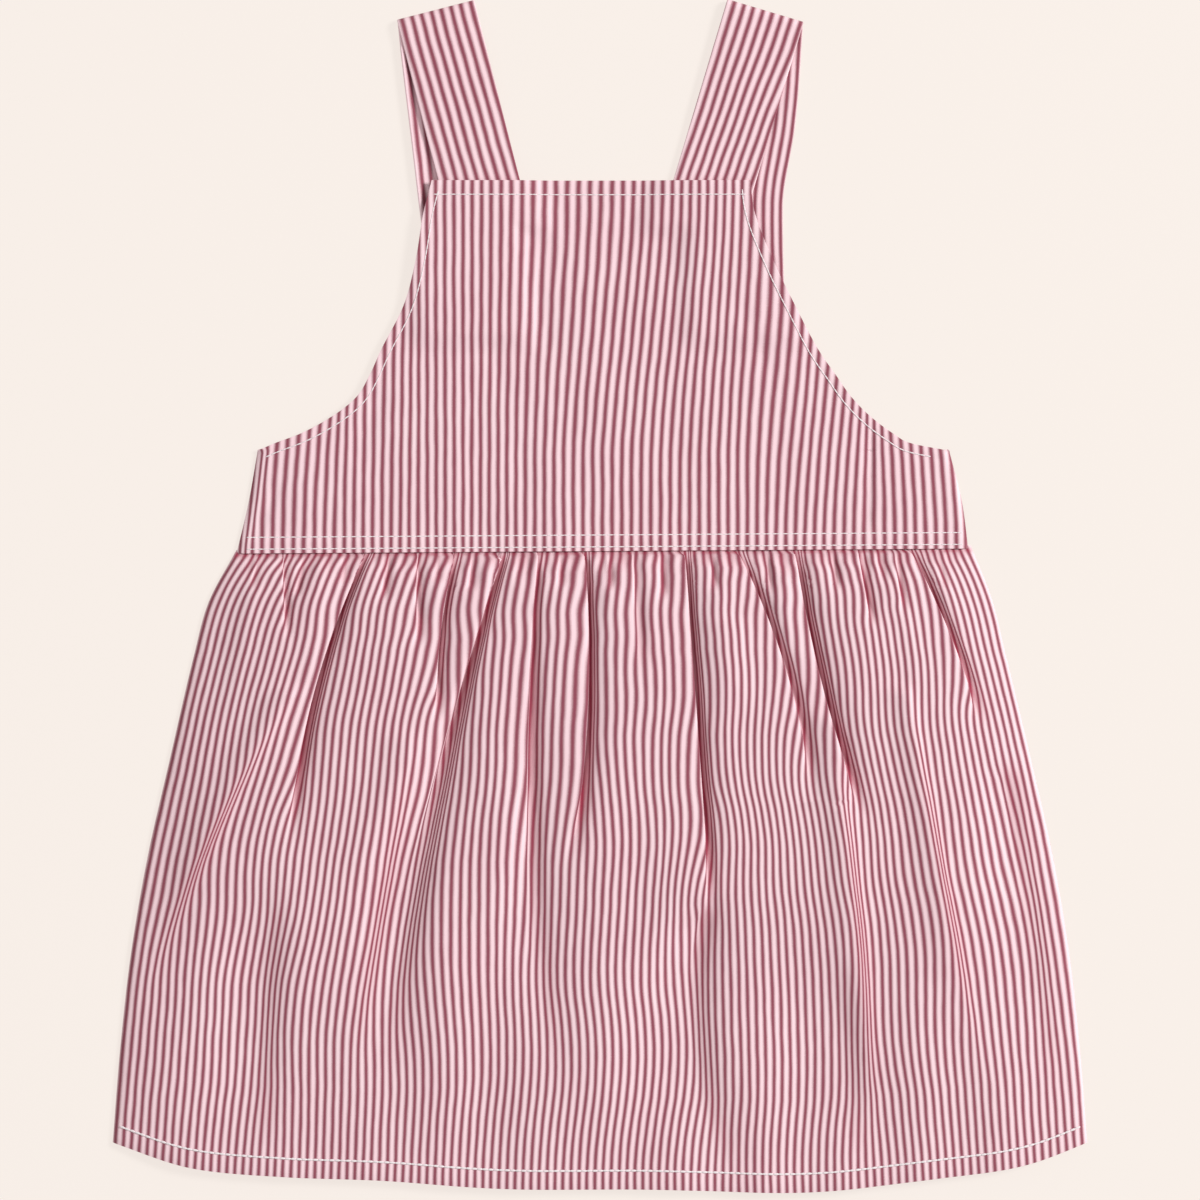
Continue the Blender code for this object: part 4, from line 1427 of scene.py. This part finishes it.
@dataclass
class Sewing:
    """Rows of lockstitch on one side of the garment, each stitch a small rounded bar.

    The gap between stitches is below 0, because their ends share a hole.
    """

    plan: Plan
    finish: Thread
    layer: Layer
    armholes: Sequence[Edge]
    top_y: float
    thickness: float
    length: float = 0.0028
    gap: float = -0.0004
    sunk: float = 0.00010
    rings: int = 5
    sides: int = 6
    waist_thread: float = 0.00062
    bib_thread: float = 0.00058
    armhole_thread: float = 0.00062
    hem_thread: float = 0.00110
    waist_start: float = 0.0045
    waist_ends: float = 0.0070    # how much shorter than the seam its rows are
    bib_inset: float = 0.0025
    armhole_half: float = 0.1470
    hem_half: float = 0.2110
    row_points: int = 90
    hem_points: int = 160

    def sew(self, name: str, rows: Sequence[Array], height: Surface,
            width: float) -> None:
        """Sew some rows as one piece of thread.

        Args:
            name: what the rows are.
            rows: each row's line, (x, y) in a row.
            height: the cloth's outer face at places across and along.
            width: how wide the thread looks.
        """
        outward = 1.0 if self.layer is Layer.FRONT else -1.0
        upright = Vector((0.0, 0.0, 1.0)).rotation_difference(Vector((1.0, 0.0, 0.0)))
        shift = self.plan.shift()
        stitches = bmesh.new()
        for ends in (ends for row in rows for ends in self.steps(row)):
            z = height(ends[:, 0], ends[:, 1])
            first, last = (Vector((*end, float(level))) for end, level in zip(ends, z))
            middle = (first + last) / 2 + shift
            middle.z += outward * (self.thickness / 2 - self.sunk)
            verts = bmesh.ops.create_uvsphere(stitches, u_segments=self.sides,
                                              v_segments=self.rings, radius=0.5)["verts"]
            bmesh.ops.scale(stitches, verts=verts, vec=(self.thickness, width, self.length))
            for turn in (upright, (last - first).to_track_quat("X", "Z")):
                bmesh.ops.rotate(stitches, verts=verts, matrix=turn.to_matrix())
            bmesh.ops.translate(stitches, verts=verts, vec=middle)
        for face in stitches.faces:
            face.smooth = True
        name = f"{self.layer.value}_{name}_topstitch"
        piece = put_form(name, stitches, self.finish.material(name + "_thread"))
        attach(piece, BODY)
        LOG.info("%s: %d faces of thread", name, len(piece.data.polygons))

    def steps(self, row: Array) -> list[Array]:
        """Start and end of each stitch along a row."""
        lengths = lengths_along(row)
        count = int(lengths[-1] // (self.length + self.gap))
        starts = np.arange(count) * (lengths[-1] / count) + self.gap / 2
        return [np.column_stack([np.interp((at, at + self.length), lengths, row[:, axis])
                                 for axis in range(2)]) for at in starts]

    def bodice(self, height: Surface) -> None:
        """Sew two rows over the waist seam, one along each armhole and one along the top."""
        plan = self.plan
        across = np.linspace(0.0, 1.0, self.row_points)
        left, right = plan.sides(plan.bodice_sides, plan.waist_y)
        waist_x = left + self.waist_start + (right - left - self.waist_ends) * across
        self.sew("waist", [np.column_stack((waist_x, plan.waist(waist_x) + row))
                           for row in plan.waist_rows], height, self.waist_thread)
        row_y = self.top_y - plan.bib_row
        left, right = plan.sides(self.armholes, row_y)
        bib_x = left + self.bib_inset + (right - left - 2 * self.bib_inset) * across
        self.sew("bib", [np.column_stack((bib_x, np.full(across.shape, row_y)))],
                 height, self.bib_thread)
        rows = []
        for to_right, side in ((False, 1.0), (True, -1.0)):
            edge = plan.armhole(self.armholes, to_right)
            inner = inside_of(edge, side * plan.armhole_row)
            keep = (np.abs(inner[:, 0]) < self.armhole_half) & (inner[:, 1] < self.top_y - 0.002)
            rows.append(inner[keep])
        self.sew("armhole", rows, height, self.armhole_thread)

    def skirt(self, height: Surface) -> None:
        """Sew one row along the hem."""
        hem_x = -self.hem_half + 2 * self.hem_half * np.linspace(0.0, 1.0, self.hem_points)
        row = np.column_stack((hem_x, self.plan.hem(hem_x) + self.plan.hem_row))
        self.sew("hem", [row], height, self.hem_thread)


# Studio -------------------------------------------------------------------------

@dataclass(frozen=True)
class Studio:
    """A pale surface, soft light from all round and a large lamp on the right."""

    view_height: float = 2.5
    view_centre: tuple[float, float] = (0.0, -0.00196)
    view_width: float = 0.528
    sensor: float = 36.0
    clip_start: float = 0.05
    floor_half: float = 3.0
    floor_z: float = -0.0001
    world_colour: Colour = (1.0, 0.985, 0.97, 1.0)
    world_light: float = 0.515
    lamp_power: float = 212.0
    lamp_size: float = 1.5
    lamp_place: tuple[float, float, float] = (3.80, 1.40, 3.50)

    def build(self) -> None:
        """Make the surface, the light and the camera."""
        self.floor()
        self.light()
        self.camera()

    def floor(self) -> None:
        """A pale table under the garment."""
        sheet = bmesh.new()
        bmesh.ops.create_grid(sheet, x_segments=8, y_segments=8, size=self.floor_half)
        bmesh.ops.translate(sheet, verts=sheet.verts, vec=(0.0, 0.0, self.floor_z))
        put_form("floor", sheet, LitTable().material("floor_table"))

    def light(self) -> None:
        """Soft light from all round and one large lamp."""
        world = bpy.data.worlds.new("room")
        bpy.context.scene.world = world
        world.use_nodes = True
        background = world.node_tree.nodes["Background"]
        background.inputs["Color"].default_value = self.world_colour
        background.inputs["Strength"].default_value = self.world_light
        lamp = bpy.data.lights.new("lamp", "AREA")
        lamp.shape = "DISK"
        lamp.size = self.lamp_size
        lamp.energy = self.lamp_power
        holder = put("lamp", lamp)
        holder.location = self.lamp_place
        holder.rotation_euler = (-Vector(self.lamp_place)).to_track_quat("-Z", "Y").to_euler()

    def camera(self) -> None:
        """A camera straight above, with the photograph's frame."""
        lens = bpy.data.cameras.new("camera")
        lens.sensor_width = self.sensor
        lens.lens = self.sensor * self.view_height / self.view_width
        lens.clip_start = self.clip_start
        holder = put("camera", lens)
        holder.location = (*self.view_centre, self.view_height)
        bpy.context.scene.camera = holder
        bpy.context.scene.view_settings.view_transform = "Standard"


# The whole garment --------------------------------------------------------------

def main() -> None:
    """Build the garment, its sewing and the studio."""
    logging.basicConfig(level=logging.INFO, format="%(name)s %(message)s")
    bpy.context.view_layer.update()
    plan, twill, thread = Plan(), StripedTwill(), Thread()
    Studio().build()
    skirt_back = SkirtBack(plan, twill, "skirt_back_cloth", "skirt_back", "skirt_twill",
                           columns=200, rows=80, wall=0.0009)
    skirt_back.build()
    bodice_back = BodiceBack(plan, twill, "bodice_back_cloth", "bodice_back", "bodice_twill",
                             columns=120, rows=70, wall=0.0009, side_rows=24)
    bodice_back.build()
    skirt = SkirtFront(plan, twill, "skirt_front_cloth", "skirt_front", "skirt_twill",
                       columns=440, rows=102, wall=0.0008)
    skirt.build()
    for line in STRAP_LINES:
        Strap(plan, twill, line.node + "_cloth", line.node, "strap_twill",
              columns=24, rows=190, wall=0.0014, edge_round=0.0005, line=line).build()
    bodice = BodiceFront(plan, twill, "bodice_front_cloth", "bodice_front", "bodice_twill",
                         columns=200, rows=150, wall=0.0011)
    bodice.build()
    front = Sewing(plan, thread, Layer.FRONT, plan.front_armholes, plan.bib_top_y,
                   thickness=0.00046)
    front.bodice(bodice.height)
    front.skirt(skirt.hem_height)
    back = Sewing(plan, thread, Layer.BACK, plan.back_armholes, plan.back_top_y,
                  thickness=0.00028)
    back.bodice(bodice_back.height)
    back.skirt(skirt_back.height)


if __name__ == "__main__":
    main()
